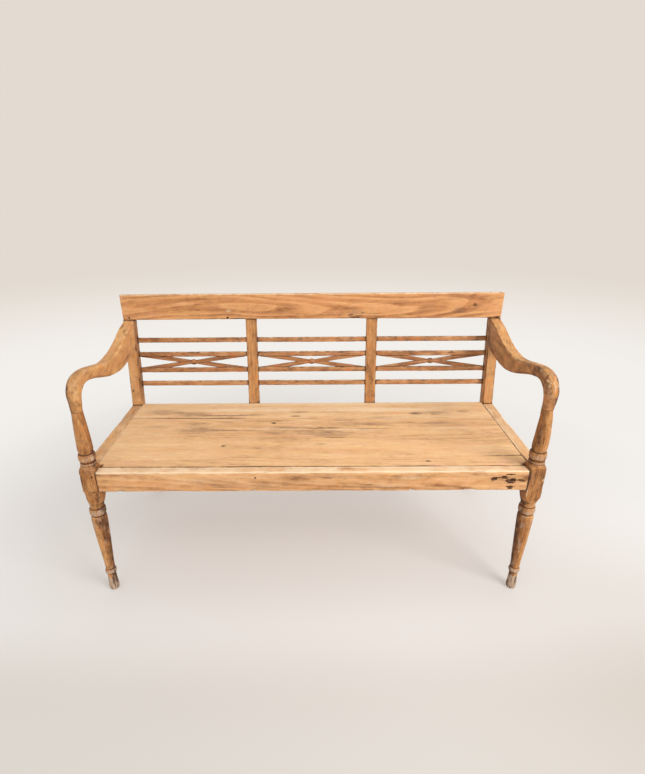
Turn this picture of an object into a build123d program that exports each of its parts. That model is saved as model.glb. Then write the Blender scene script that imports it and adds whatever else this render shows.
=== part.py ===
from build123d import *
import math
import os

# Three-panel hall bench in weathered teak. Millimetres, +Z up, +Y towards the back.
# Working frame while modelling: Y = 0 on the axis of the front legs, Z = 0 on the floor.
# Everything is shifted by -Y_CENTRE on export, so the origin is under the middle of the bench.

# ---------------------------------------------------------------- driving dimensions
RAKE = 7.87             # lean of the back above the seat, degrees
SEAT_Z = 475.5          # top of the seat boards
BOARD_T = 20.0          # thickness of the seat boards
RAIL_H = 68.0           # depth of the front and side rails
RAIL_BOT = SEAT_Z - RAIL_H

LEG_X = 681.0           # axis of the front legs
BLOCK = 49.0            # square block of the front leg
RING_D = 50.5           # turned rings
BLOCK_TOP = 489.0
BLOCK_BOT = 364.0
ARM_JOINT_Z = 672.0     # where the arm sits on the turned baluster
JOINT_D = 32.0          # diameter at that joint

SIDE_OUT = 707.5                    # outer face of side rails and posts
SIDE_IN = 669.5                     # visible inner edge of the side rails
LEDGE = 10.0                        # rebate that carries the boards
FRONT_FACE = -22.5                  # front face of the front rail
FRONT_IN = 9.5                      # visible rear edge of the front rail

POST_IN = 669.5
POST_FRONT = 469.0      # front face of the post at the seat
POST_D = 40.0
STILE_Y = 489.0         # front plane of the inner uprights at seat height
STILE_T = 20.0
STILE_X = 229.4
STILE_W = 41.0
BOARD_REAR = 485.8

CREST_BOT_Z = 803.3     # front bottom edge of the crest
CREST_TOP_Z = 895.5     # front top edge of the crest
CREST_BOT_HALF = 711.0
CREST_TOP_HALF = 717.0
CREST_OFF = -8.0        # crest front face ahead of the uprights
CREST_T = 28.0

SLAT_H = 18.0
SLAT_T = 12.0
SLAT_OFF = 4.0          # set back from the front of the uprights
SLAT_Z = {"top": 724.0, "upper": 669.0, "lower": 608.0, "bottom": 554.8}
BEAD_W, BEAD_H = 28.0, 21.0
NECK_H = 11.0

FOOT_FRONT = 597.0      # rear foot on the floor, front and back
FOOT_REAR = 632.0

ARM_X = 686.5
ARM_W = 38.0

TEN_T = 12.0            # tenon thickness
PEG_D = 7.0

Y_FRONT = -RING_D / 2
Y_CENTRE = (FOOT_REAR + Y_FRONT) / 2

R = math.radians(RAKE)
parts = {}


def box(x0, x1, y0, y1, z0, z1):
    return Pos((x0 + x1) / 2, (y0 + y1) / 2, (z0 + z1) / 2) * Box(x1 - x0, y1 - y0, z1 - z0)


def mirror_x(s):
    return mirror(s, about=Plane.YZ)


def solid_of(s):
    # one clean solid from a boolean result
    sl = s.solids()
    assert len(sl) == 1, len(sl)
    return sl[0]


# plane of the back: x along the bench, y up the slope, normal towards the back
BACK = Plane(origin=(0, STILE_Y, SEAT_Z), x_dir=(1, 0, 0), z_dir=(0, -math.cos(R), math.sin(R)))
COS = math.cos(R)


def up(z):
    # distance up the slope for a height z
    return (z - SEAT_Z) / COS


def back_prism(pts, off, thick):
    # polygon in the plane of the back, from off to off + thick behind the front plane
    w = [BACK.from_local_coords(Vector(x, s, -off)) for x, s in pts]
    f = Face(Wire.make_polygon(w, close=True))
    return extrude(f, amount=thick, dir=(0, math.cos(R), -math.sin(R)))


def back_box(x0, x1, s0, s1, off, thick):
    return back_prism([(x0, s0), (x1, s0), (x1, s1), (x0, s1)], off, thick)


def back_peg(x, s, off, length, d=PEG_D):
    o = BACK.from_local_coords(Vector(x, s, -off))
    pl = Plane(origin=o, x_dir=(1, 0, 0), z_dir=(0, math.cos(R), -math.sin(R)))
    return extrude(pl * Circle(d / 2), amount=length)


def yz_prism(edges, x0, x1):
    # closed outline in the YZ plane, extruded from x0 to x1
    f = Face(Wire(edges))
    return extrude(f, amount=(x1 - x0), dir=(1, 0, 0))


# ---------------------------------------------------------------- back posts with rear legs
S_CREST_BOT = up(CREST_BOT_Z)
S_CREST_TOP = up(CREST_TOP_Z)


def post_profile(x):
    def bp(s, off):
        v = BACK.from_local_coords(Vector(0, s, -off))
        return Vector(x, v.Y, v.Z)
    top_f = bp(S_CREST_BOT, -20.0)
    top_r = bp(S_CREST_BOT, 20.0)
    low_f = Vector(x, POST_FRONT, SEAT_Z)
    low_r = Vector(x, POST_FRONT + POST_D, SEAT_Z)
    v_f = Vector(x, POST_FRONT, 400.0)
    v_r = Vector(x, POST_FRONT + POST_D, 400.0)
    foot_f = Vector(x, FOOT_FRONT, 0)
    foot_r = Vector(x, FOOT_REAR, 0)
    e = [
        Line(foot_f, foot_r),
        Spline(foot_r, Vector(x, 574, 104), Vector(x, 534, 214), Vector(x, 514, 316), v_r,
               tangents=(Vector(0, -0.56, 1), Vector(0, 0, 1))),
        Line(v_r, low_r),
        Line(low_r, top_r),
        Line(top_r, top_f),
        Line(top_f, low_f),
        Line(low_f, v_f),
        Spline(v_f, Vector(x, 474, 316), Vector(x, 494, 214), Vector(x, 536, 104), foot_f,
               tangents=(Vector(0, 0, -1), Vector(0, 0.60, -1))),
    ]
    return [k.edge() if hasattr(k, "edge") else k for k in e]


post = yz_prism(post_profile(POST_IN), POST_IN, SIDE_OUT)
# tenon on top of the post, up into the crest
CREST_TEN = 34.0
post = post + back_box(POST_IN + 8, SIDE_OUT - 9, S_CREST_BOT - 6, S_CREST_BOT + CREST_TEN, -2.0, TEN_T)

# ---------------------------------------------------------------- crest rail
crest = back_prism([(-CREST_BOT_HALF, S_CREST_BOT), (CREST_BOT_HALF, S_CREST_BOT),
                    (CREST_TOP_HALF, S_CREST_TOP), (-CREST_TOP_HALF, S_CREST_TOP)], CREST_OFF, CREST_T)
crest = chamfer(crest.edges().filter_by(Axis.X).group_by(Axis.Z)[-2:][0] +
                crest.edges().filter_by(Axis.X).group_by(Axis.Z)[-1:][0], 2.0)

# ---------------------------------------------------------------- inner uprights
STILE_FOOT_Z = SEAT_Z - BOARD_T
s_foot = up(STILE_FOOT_Z)
st_x0, st_x1 = STILE_X - STILE_W / 2, STILE_X + STILE_W / 2
stile_raw = back_box(st_x0, st_x1, s_foot - 30, S_CREST_BOT, 0.0, STILE_T)
stile_raw = stile_raw & box(st_x0 - 1, st_x1 + 1, 400, 600, STILE_FOOT_Z, 900)
stile = stile_raw + back_box(st_x0 + 6, st_x1 - 6, S_CREST_BOT - 6, S_CREST_BOT + 28, 4.0, TEN_T)
stile_ten = box(st_x0 + 6, st_x1 - 6, 490.0, 500.0, STILE_FOOT_Z - 26, STILE_FOOT_Z)
stile_core = stile + box(st_x0 + 6, st_x1 - 6, 490.0, 500.0, STILE_FOOT_Z - 26, STILE_FOOT_Z + 4)

# ---------------------------------------------------------------- slats, braces, beads
SLAT_TEN = 9.0
panels = {
    "left": (-POST_IN, -(STILE_X + STILE_W / 2)),
    "middle": (-(STILE_X - STILE_W / 2), STILE_X - STILE_W / 2),
    "right": (STILE_X + STILE_W / 2, POST_IN),
}
slat_cut_left, slat_cut_mid_in = [], []
slats = {}
for pn, (x0, x1) in panels.items():
    for sn, z in SLAT_Z.items():
        s = up(z)
        h = SLAT_H / 2
        b = back_box(x0, x1, s - h, s + h, SLAT_OFF, SLAT_T)
        t = back_box(x0 - SLAT_TEN, x1 + SLAT_TEN, s - h + 3, s + h - 3, SLAT_OFF + 3, SLAT_T - 6)
        slats[pn + "_slat_" + sn] = (b + t, t)
        parts[pn + "_slat_" + sn] = b + t

s_up_low = up(SLAT_Z["upper"]) - SLAT_H / 2      # underside of the upper slat
s_lo_top = up(SLAT_Z["lower"]) + SLAT_H / 2      # top of the lower slat
s_mid = (s_up_low + s_lo_top) / 2
gap = s_up_low - s_lo_top
for pn, (x0, x1) in panels.items():
    xc, hw = (x0 + x1) / 2, (x1 - x0) / 2
    k = NECK_H / 2
    hg = gap / 2
    pa = [(-hw, hg), (-96, hg), (0, k), (57, 0), (hw, -hg), (96, -hg), (0, -k), (-57, 0)]
    fall = [(xc + u, s_mid + v) for u, v in pa]
    rise = [(xc - u, s_mid + v) for u, v in pa]
    half = SLAT_T / 2
    A = back_prism(fall, SLAT_OFF, SLAT_T)
    B = back_prism(rise, SLAT_OFF, SLAT_T)
    A_front = back_prism(fall, SLAT_OFF, half)
    B_rear = back_prism(rise, SLAT_OFF + half, half)
    lap_front = back_prism(rise, SLAT_OFF, half)
    lap_rear = back_prism(fall, SLAT_OFF + half, half)
    # falling brace keeps its rear half at the crossing, the rising one its front half
    Af = A - lap_front
    Bf = B - lap_rear
    # the laps leave the tips of the other brace on: keep the large solid only
    parts[pn + "_brace_falling"] = max(Af.solids(), key=lambda q: q.volume)
    parts[pn + "_brace_rising"] = max(Bf.solids(), key=lambda q: q.volume)
    # bead, split on the middle plane of the braces and channelled over them
    c = BACK.from_local_coords(Vector(xc, s_mid, -(SLAT_OFF + half)))
    loc = Plane(origin=c, x_dir=(1, 0, 0), z_dir=(0, -math.cos(R), math.sin(R)))
    prof = Ellipse(BEAD_W / 2, BEAD_H / 2)
    halfp = prof & (Pos(0, BEAD_H / 2) * Rectangle(BEAD_W * 2, BEAD_H))
    ball = loc * revolve(halfp, axis=Axis.X)
    front = back_box(xc - 20, xc + 20, s_mid - 20, s_mid + 20, SLAT_OFF + half - 30, 30.0)
    rear = back_box(xc - 20, xc + 20, s_mid - 20, s_mid + 20, SLAT_OFF + half, 30.0)
    bf = (ball & front) - A - B
    br = (ball & rear) - A - B
    parts[pn + "_bead_front"] = max(bf.solids(), key=lambda q: q.volume)
    parts[pn + "_bead_rear"] = max(br.solids(), key=lambda q: q.volume)

# ---------------------------------------------------------------- front legs
def turned(points):
    # closed profile revolved about Z: (radius, height) pairs from the bottom to the top
    pl = [(0, points[0][1])] + points + [(0, points[-1][1])]
    f = make_face(Polyline(*[(r, z) for r, z in pl], close=True))
    return Plane.XZ * f


def smooth(pts, n=6):
    # Catmull-Rom through the turned profile, so that the lathe curve reads as a curve
    out = []
    P = [pts[0]] + pts + [pts[-1]]
    for i in range(1, len(P) - 2):
        p0, p1, p2, p3 = P[i - 1], P[i], P[i + 1], P[i + 2]
        for j in range(n):
            t = j / n
            q = []
            for a in (0, 1):
                q.append(0.5 * (2 * p1[a] + (p2[a] - p0[a]) * t
                                + (2 * p0[a] - 5 * p1[a] + 4 * p2[a] - p3[a]) * t * t
                                + (3 * p1[a] - p0[a] - 3 * p2[a] + p3[a]) * t ** 3))
            out.append(tuple(q))
    out.append(pts[-1])
    return out


RR = RING_D / 2
lower = [(12.5, 0), (14.6, 2.5), (15.9, 8), (16.1, 16), (15.2, 30), (14.2, 46), (13.8, 62), (14.2, 69)]
collar = [(16.4, 71), (18.0, 75), (18.2, 79), (16.8, 84), (14.8, 87)]
taper = [(14.6, 92), (15.6, 118), (18.0, 158), (20.4, 200), (22.3, 240), (23.8, 275), (24.4, 296), (23.2, 306)]
ring2 = [(22.0, 309), (22.0, 313.5), (24.2, 315.5), (RR, 320), (RR, 331), (24.3, 336), (22.4, 338)]
neck2 = [(21.6, 343), (22.3, 352), (24.3, 360)]
leg_low = smooth(lower, 3) + collar + smooth(taper, 3) + ring2 + neck2 + [(24.3, 380)]
neck1 = [(24.3, 470), (24.3, 489.0), (24.3, 493), (22.8, 496.5), (23.6, 499), (23.8, 502), (22.0, 504.5), (21.2, 506), (21.2, 509)]
ring1 = [(24.0, 511), (RR, 515.5), (RR, 527), (24.2, 532), (21.6, 534.5)]
balus = [(19.6, 536), (20.8, 540), (22.0, 546), (22.2, 553), (21.9, 566), (21.4, 580), (20.5, 600),
         (19.1, 625), (17.5, 648), (16.3, 665)]
leg_up = neck1 + ring1 + smooth(balus, 3) + [(JOINT_D / 2, ARM_JOINT_Z)]
lathe_low = revolve(turned(leg_low), axis=Axis.Z)
lathe_up = revolve(turned(leg_up), axis=Axis.Z)
hb = BLOCK / 2
diag = hb * math.sqrt(2) + 1
env = [(24.3, BLOCK_BOT - 6), (25.4, BLOCK_BOT - 2), (28.0, BLOCK_BOT + 5), (31.5, BLOCK_BOT + 13), (diag, BLOCK_BOT + 24),
       (diag, BLOCK_TOP - 12), (31.5, BLOCK_TOP - 6), (27.5, BLOCK_TOP - 1.5), (24.3, BLOCK_TOP)]
envelope = revolve(turned(env), axis=Axis.Z)
blk = Pos(0, 0, (BLOCK_TOP + BLOCK_BOT) / 2) * Box(BLOCK, BLOCK, BLOCK_TOP - BLOCK_BOT + 20)
blk = chamfer(blk.edges().filter_by(Axis.Z), 2.0)
block = blk & envelope
ARM_TEN_D = 20.0
ARM_TEN_H = 34.0
tenon_up = Pos(0, 0, ARM_JOINT_Z - 4) * Cylinder(ARM_TEN_D / 2, ARM_TEN_H + 4,
                                                align=(Align.CENTER, Align.CENTER, Align.MIN))
leg = lathe_low + block + lathe_up + tenon_up
leg = Pos(LEG_X, 0, 0) * leg

# ---------------------------------------------------------------- arms
ARM_REAR_S0 = up(706.0)
ARM_REAR_S1 = up(801.0)


def arm_point(s):
    v = BACK.from_local_coords(Vector(0, s, 20.0))
    return v.Y, v.Z


py0, pz0 = arm_point(ARM_REAR_S0)
py1, pz1 = arm_point(ARM_REAR_S1)
# stations from the post to the leg: top y, top z, underside y, underside z, middle x, width, corner radius
ARM_STATIONS = [
    (py1, pz1, py0, pz0, 686.5, 38.0, 3.0),
    (452, 789, 456, 692, 686.5, 38.0, 3.5),
    (388, 765, 390, 680.5, 686.5, 38.0, 4.0),
    (330, 748, 322, 677, 686.5, 38.0, 5.0),
    (270, 742, 257, 687, 686.7, 38.0, 7.0),
    (215, 746, 200, 704, 687.0, 38.0, 9.5),
    (152, 760, 141, 723, 687.4, 38.4, 12.5),
    (98, 771, 94, 733, 687.6, 39.0, 15.0),
    (52, 774, 61, 734, 687.6, 39.5, 17.0),
    (13, 761, 38, 723, 687.0, 39.5, 17.5),
    (-12, 734, 24, 707, 685.4, 38.0, 17.5),
    (-17.6, 702, 17.8, 692, 683.0, 35.0, 16.2),
    (-JOINT_D / 2, ARM_JOINT_Z, JOINT_D / 2, ARM_JOINT_Z, LEG_X, JOINT_D, 15.2),
]
sections = []
for ty, tz, by, bz, xc, w, r in ARM_STATIONS:
    h = math.hypot(ty - by, tz - bz)
    pl = Plane(origin=(xc, (ty + by) / 2, (tz + bz) / 2), x_dir=(1, 0, 0),
               z_dir=(0, -(tz - bz) / h, (ty - by) / h))
    sections.append(pl * RectangleRounded(w, h, min(r, w / 2 - 0.6, h / 2 - 0.6)))
arm = loft(sections)
# seat for the round tenon of the leg
arm = arm - (Pos(LEG_X, 0, ARM_JOINT_Z - 1) * Cylinder(ARM_TEN_D / 2, ARM_TEN_H + 1,
                                                      align=(Align.CENTER, Align.CENTER, Align.MIN)))
# tenon into the post
arm_ten = back_box(ARM_X - 6, ARM_X + 6, up(724), up(784), -20.0, 20.0)
arm_core = arm + back_box(ARM_X - 6, ARM_X + 6, up(724), up(784), -24.0, 24.0)

# ---------------------------------------------------------------- seat frame
LEG_IN = LEG_X - BLOCK / 2          # inner face of the leg block
front_rail = box(-LEG_IN, LEG_IN, FRONT_FACE, FRONT_IN + LEDGE, RAIL_BOT, SEAT_Z)
front_rail = front_rail - box(-LEG_IN - 1, LEG_IN + 1, FRONT_IN, FRONT_IN + LEDGE + 1, SEAT_Z - BOARD_T, SEAT_Z + 1)
front_rail = chamfer(front_rail.edges().filter_by(Axis.X).sort_by(Axis.Y)[0:2], 1.5)
FT_Y0, FT_Y1 = -14.0, -2.0
ft = box(LEG_IN, LEG_IN + 25, FT_Y0, FT_Y1, RAIL_BOT + 8, SEAT_Z - 8)
front_rail = front_rail + ft + mirror_x(ft)

side_rail = box(SIDE_IN - LEDGE, SIDE_OUT, BLOCK / 2, POST_FRONT, RAIL_BOT, SEAT_Z)
side_rail = side_rail - box(SIDE_IN - LEDGE - 1, SIDE_IN, 0, POST_FRONT + 1, SEAT_Z - BOARD_T, SEAT_Z + 1)
ST_X0, ST_X1 = 684.0, 696.0
st_f = box(ST_X0, ST_X1, 1.5, BLOCK / 2, RAIL_BOT + 8, SEAT_Z - 8)
st_r = box(ST_X0, ST_X1, POST_FRONT, POST_FRONT + 21, RAIL_BOT + 8, SEAT_Z - 8)
side_rail = side_rail + st_f + st_r
REAR_Y0, REAR_Y1 = 471.0, 506.0

rear_rail = box(-POST_IN, POST_IN, REAR_Y0, REAR_Y1, RAIL_BOT, SEAT_Z - BOARD_T)
RT_Y0, RT_Y1 = 493.0, 503.0
rt = box(POST_IN, POST_IN + 22, RT_Y0, RT_Y1, RAIL_BOT + 6, SEAT_Z - BOARD_T - 6)
rear_rail = rear_rail + rt + mirror_x(rt)

# ---------------------------------------------------------------- seat boards
BX = SIDE_IN - 0.5
SEAM_R_L, SEAM_R_R = 353.0, 345.0       # rear seam, left and right end
SEAM_F_L, SEAM_F_R = 51.5, 72.5         # front seam, left and right end
GAP = 0.6
z0b, z1b = SEAT_Z - BOARD_T, SEAT_Z


def board(fl, fr, rl, rr):
    w = [Vector(-BX, fl, z0b), Vector(BX, fr, z0b), Vector(BX, rr, z0b), Vector(-BX, rl, z0b)]
    return extrude(Face(Wire.make_polygon(w, close=True)), amount=BOARD_T, dir=(0, 0, 1))


board_front = board(FRONT_IN + 0.6, FRONT_IN + 0.6, SEAM_F_L, SEAM_F_R)
# the boards pass inside the front leg blocks
for sx in (-1, 1):
    blk_clear = box(min(sx * (LEG_IN - 0.6), sx * 800), max(sx * (LEG_IN - 0.6), sx * 800), -50, BLOCK / 2 + 0.6, 400, 600)
    board_front = board_front - blk_clear
board_main = board(SEAM_F_L + GAP, SEAM_F_R + GAP, SEAM_R_L, SEAM_R_R)
board_rear = board(SEAM_R_L + GAP, SEAM_R_R + GAP, BOARD_REAR, BOARD_REAR)

# ---------------------------------------------------------------- bearers under the seat
BEAR_X, BEAR_W, BEAR_H = 250.0, 42.0, 30.0
zb = SEAT_Z - BOARD_T
bearer = box(BEAR_X - BEAR_W / 2, BEAR_X + BEAR_W / 2, FRONT_IN + LEDGE, REAR_Y0, zb - BEAR_H, zb)
b_ten_f = box(BEAR_X - 12, BEAR_X + 12, FRONT_IN + LEDGE - 10, FRONT_IN + LEDGE, zb - 24, zb - 8)
b_ten_r = box(BEAR_X - 12, BEAR_X + 12, REAR_Y0, REAR_Y0 + 10, zb - 24, zb - 8)
bearer = bearer + b_ten_f + b_ten_r

# ---------------------------------------------------------------- screws through the bearers
SCREW_L = 40.0


def screw(x, y):
    # countersunk head flush with the underside of the bearer, plain shank, blunt point
    low = (Align.CENTER, Align.CENTER, Align.MIN)
    head = Cone(4.2, 2.0, 3.2, align=low)
    shank = Pos(0, 0, 3.2) * Cylinder(2.0, SCREW_L - 7.2, align=low)
    point = Pos(0, 0, SCREW_L - 4) * Cone(2.0, 0.8, 4.0, align=low)
    return Pos(x, y, zb - BEAR_H) * (head + shank + point)


screws = [screw(sx * BEAR_X, y) for sx in (-1, 1) for y in (36.0, 130.0, 280.0, 420.0)]

# ---------------------------------------------------------------- pegs
crest_pegs = [back_peg(sx * 688.75, S_CREST_BOT + 10, CREST_OFF - 0.8, CREST_T - 5) for sx in (-1, 1)]


def ypeg(x, y, z, length):
    pl = Plane(origin=(x, y, z), x_dir=(1, 0, 0), z_dir=(0, 1, 0))
    return extrude(pl * Circle(PEG_D / 2), amount=length)


def xpeg(x, y, z, length):
    pl = Plane(origin=(x, y, z), x_dir=(0, 1, 0), z_dir=(1, 0, 0))
    return extrude(pl * Circle(PEG_D / 2), amount=length)


FP_X = LEG_IN + 13
front_pegs = [ypeg(sx * FP_X, -BLOCK / 2 - 0.6, z, 31.0) for sx in (-1, 1) for z in (459.0, 425.0)]
side_pegs = []
for sx in (-1, 1):
    for y in (14.0, 479.0):
        for z in (452.0, 430.0):
            if sx > 0:
                side_pegs.append(xpeg(SIDE_OUT + 0.6 - 30.0, y, z, 30.0))
            else:
                side_pegs.append(xpeg(-SIDE_OUT - 0.6, y, z, 30.0))

# ---------------------------------------------------------------- cut the mating mortises
leg_r = leg - ft - st_f
for p in front_pegs + side_pegs:
    leg_r = leg_r - p
leg_l = mirror_x(leg) - mirror_x(ft) - mirror_x(st_f)
for p in front_pegs + side_pegs:
    leg_l = leg_l - p
parts["right_front_leg"] = leg_r
parts["left_front_leg"] = leg_l

fr = front_rail
for p in front_pegs:
    fr = fr - p
for sx in (-1, 1):
    fr = fr - (b_ten_f if sx > 0 else mirror_x(b_ten_f))
parts["front_rail"] = fr

sr = side_rail
sl = mirror_x(side_rail)
for p in side_pegs:
    sr = sr - p
    sl = sl - p
parts["right_side_rail"] = sr
parts["left_side_rail"] = sl

rr_ = rear_rail - b_ten_r - mirror_x(b_ten_r) - stile_ten - mirror_x(stile_ten)
parts["rear_rail"] = rr_


def post_cut(p, right):
    m = (lambda s: s) if right else mirror_x
    p = p - m(st_r) - m(rt) - m(arm_ten)
    for n, (whole, t) in slats.items():
        if n.startswith("right" if right else "left"):
            p = p - t
    for g in side_pegs + crest_pegs:
        p = p - g
    return p


parts["right_back_post"] = post_cut(post, True)
parts["left_back_post"] = post_cut(mirror_x(post), False)


def stile_cut(p, right):
    for n, (whole, t) in slats.items():
        if n.startswith("middle") or n.startswith("right" if right else "left"):
            p = p - t
    for g in crest_pegs:
        p = p - g
    return p


parts["right_mid_stile"] = stile_cut(stile_core, True)
parts["left_mid_stile"] = stile_cut(mirror_x(stile_core), False)

crest_ten_post = back_box(POST_IN + 8, SIDE_OUT - 9, S_CREST_BOT, S_CREST_BOT + CREST_TEN, -2.0, TEN_T)
crest_ten_stile = back_box(st_x0 + 6, st_x1 - 6, S_CREST_BOT, S_CREST_BOT + 28, 4.0, TEN_T)
cr = crest
for t in (crest_ten_post, crest_ten_stile):
    cr = cr - t - mirror_x(t)
for p in crest_pegs:
    cr = cr - p
parts["crest_rail"] = cr

parts["right_arm"] = arm_core
parts["left_arm"] = mirror_x(arm_core)

parts["seat_board_front"] = board_front
parts["seat_board_main"] = board_main
parts["seat_board_rear"] = board_rear
for n in ("seat_board_front", "seat_board_main", "seat_board_rear"):
    for s in screws:
        parts[n] = parts[n] - s
bl, br_ = mirror_x(bearer), bearer
for s in screws:
    bl = bl - s
    br_ = br_ - s
parts["left_seat_bearer"] = bl
parts["right_seat_bearer"] = br_

groups = {
    "crest_pegs": crest_pegs,
    "front_rail_pegs": front_pegs,
    "side_rail_pegs": side_pegs,
    "bearer_screws": screws,
}

# ---------------------------------------------------------------- export
os.makedirs("parts", exist_ok=True)
shift = Pos(0, -Y_CENTRE, 0)
for name, s in parts.items():
    sol = s.solids()
    assert len(sol) == 1, (name, len(sol), [round(q.volume, 2) for q in sol])
    export_step(shift * sol[0], "parts/" + name + ".step")
for name, lst in groups.items():
    sols = [q for g in lst for q in g.solids()]
    export_step(shift * Compound(children=[q for q in sols]), "parts/" + name + ".step")
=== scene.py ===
import bpy, math, zlib
import numpy as np
from mathutils import Vector, Matrix


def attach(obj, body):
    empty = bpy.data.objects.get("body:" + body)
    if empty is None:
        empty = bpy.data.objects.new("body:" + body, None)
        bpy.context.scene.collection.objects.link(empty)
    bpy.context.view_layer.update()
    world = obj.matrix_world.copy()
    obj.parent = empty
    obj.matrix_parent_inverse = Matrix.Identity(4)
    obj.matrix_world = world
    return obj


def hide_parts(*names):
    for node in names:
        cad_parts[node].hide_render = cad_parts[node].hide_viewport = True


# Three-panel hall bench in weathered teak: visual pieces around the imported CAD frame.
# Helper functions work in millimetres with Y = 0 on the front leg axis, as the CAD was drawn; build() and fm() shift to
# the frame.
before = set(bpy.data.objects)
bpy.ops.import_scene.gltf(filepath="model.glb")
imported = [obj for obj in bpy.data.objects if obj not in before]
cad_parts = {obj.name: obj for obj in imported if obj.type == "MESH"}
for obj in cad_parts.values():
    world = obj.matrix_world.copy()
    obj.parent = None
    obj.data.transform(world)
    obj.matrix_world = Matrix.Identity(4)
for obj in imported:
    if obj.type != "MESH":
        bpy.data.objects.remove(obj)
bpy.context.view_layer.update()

YC = 303.375
RAKE = math.radians(7.87)
SR, CR = math.sin(RAKE), math.cos(RAKE)
SEAT = 475.5
ORG = np.array([0.0, 489.0, 475.5])
UP = np.array([0.0, SR, CR])
BK = np.array([0.0, CR, -SR])
EX = np.array([1.0, 0.0, 0.0]); EY = np.array([0.0, 1.0, 0.0]); EZ = np.array([0.0, 0.0, 1.0])


def up(z):
    return (z - SEAT) / CR


def seed_of(name):
    return zlib.crc32(name.encode()) & 0x7fffffff


def sm(a, b, x):
    t = np.clip((np.asarray(x, float) - a) / (b - a), 0, 1)
    return t * t * (3 - 2 * t)


# ------------------------------------------------------------------ seeded noise
def _hash(i, j, k, s):
    with np.errstate(over="ignore"):
        n = (i.astype(np.int64).astype(np.uint32) * np.uint32(73856093)) ^ \
            (j.astype(np.int64).astype(np.uint32) * np.uint32(19349663)) ^ \
            (k.astype(np.int64).astype(np.uint32) * np.uint32(83492791)) ^ np.uint32((s * 2654435761) & 0xffffffff)
        n = n ^ (n >> np.uint32(13))
        n = n * np.uint32(1274126177)
        n = n ^ (n >> np.uint32(16))
        n = n * np.uint32(2246822519)
        n = n ^ (n >> np.uint32(15))
    return n.astype(np.float64) / 4294967295.0 * 2 - 1


def vnoise(p, s=0):
    p = np.asarray(p, float)
    f = np.floor(p); t = p - f; t = t * t * t * (t * (t * 6 - 15) + 10)
    i, j, k = f[:, 0], f[:, 1], f[:, 2]
    out = 0
    for a in (0, 1):
        wa = t[:, 0] if a else 1 - t[:, 0]
        for b in (0, 1):
            wb = t[:, 1] if b else 1 - t[:, 1]
            for c in (0, 1):
                wc = t[:, 2] if c else 1 - t[:, 2]
                out = out + wa * wb * wc * _hash(i + a, j + b, k + c, s)
    return out


def fbm(p, s=0, octaves=3, gain=0.5):
    out, amp, tot, q = 0, 1.0, 0, np.asarray(p, float)
    for o in range(octaves):
        out = out + amp * vnoise(q + 17.3 * o, s + 101 * o)
        tot += amp; amp *= gain; q = q * 2.03
    return out / tot


# ------------------------------------------------------------------ lofts
def rrect(hw, hh, rad, q, na, nb):
    """(M, N, 2) rounded rectangles; ring starts in the middle of the low-left corner and runs right, up, left, down."""
    M = len(hw)
    cs = [(-1, -1, 180), (1, -1, 270), (1, 1, 0), (-1, 1, 90)]

    def arc(c, a0, a1):
        r = rad[:, c]
        cx = cs[c][0] * (hw - r); cy = cs[c][1] * (hh - r)
        ang = np.radians(np.linspace(a0, a1, q + 1))
        return np.stack([cx[:, None] + r[:, None] * np.cos(ang), cy[:, None] + r[:, None] * np.sin(ang)], -1)
    out = []
    for side in range(4):
        c0, c1 = side, (side + 1) % 4
        A = arc(c0, cs[c0][2] + 45, cs[c0][2] + 90)
        B = arc(c1, cs[c1][2], cs[c1][2] + 45)
        n = na if side % 2 == 0 else nb
        t = np.linspace(0, 1, n + 1)[1:-1]
        mid = A[:, -1:, :] * (1 - t)[None, :, None] + B[:, :1, :] * t[None, :, None]
        out += [A, mid, B[:, :-1, :]]
    return np.concatenate(out, 1)


def place(sec, P, U, V):
    """section points (M, N, 2) on frames P, U, V (M, 3) -> (M, N, 3)"""
    return P[:, None, :] + sec[..., 0:1] * U[:, None, :] + sec[..., 1:2] * V[:, None, :]


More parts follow.
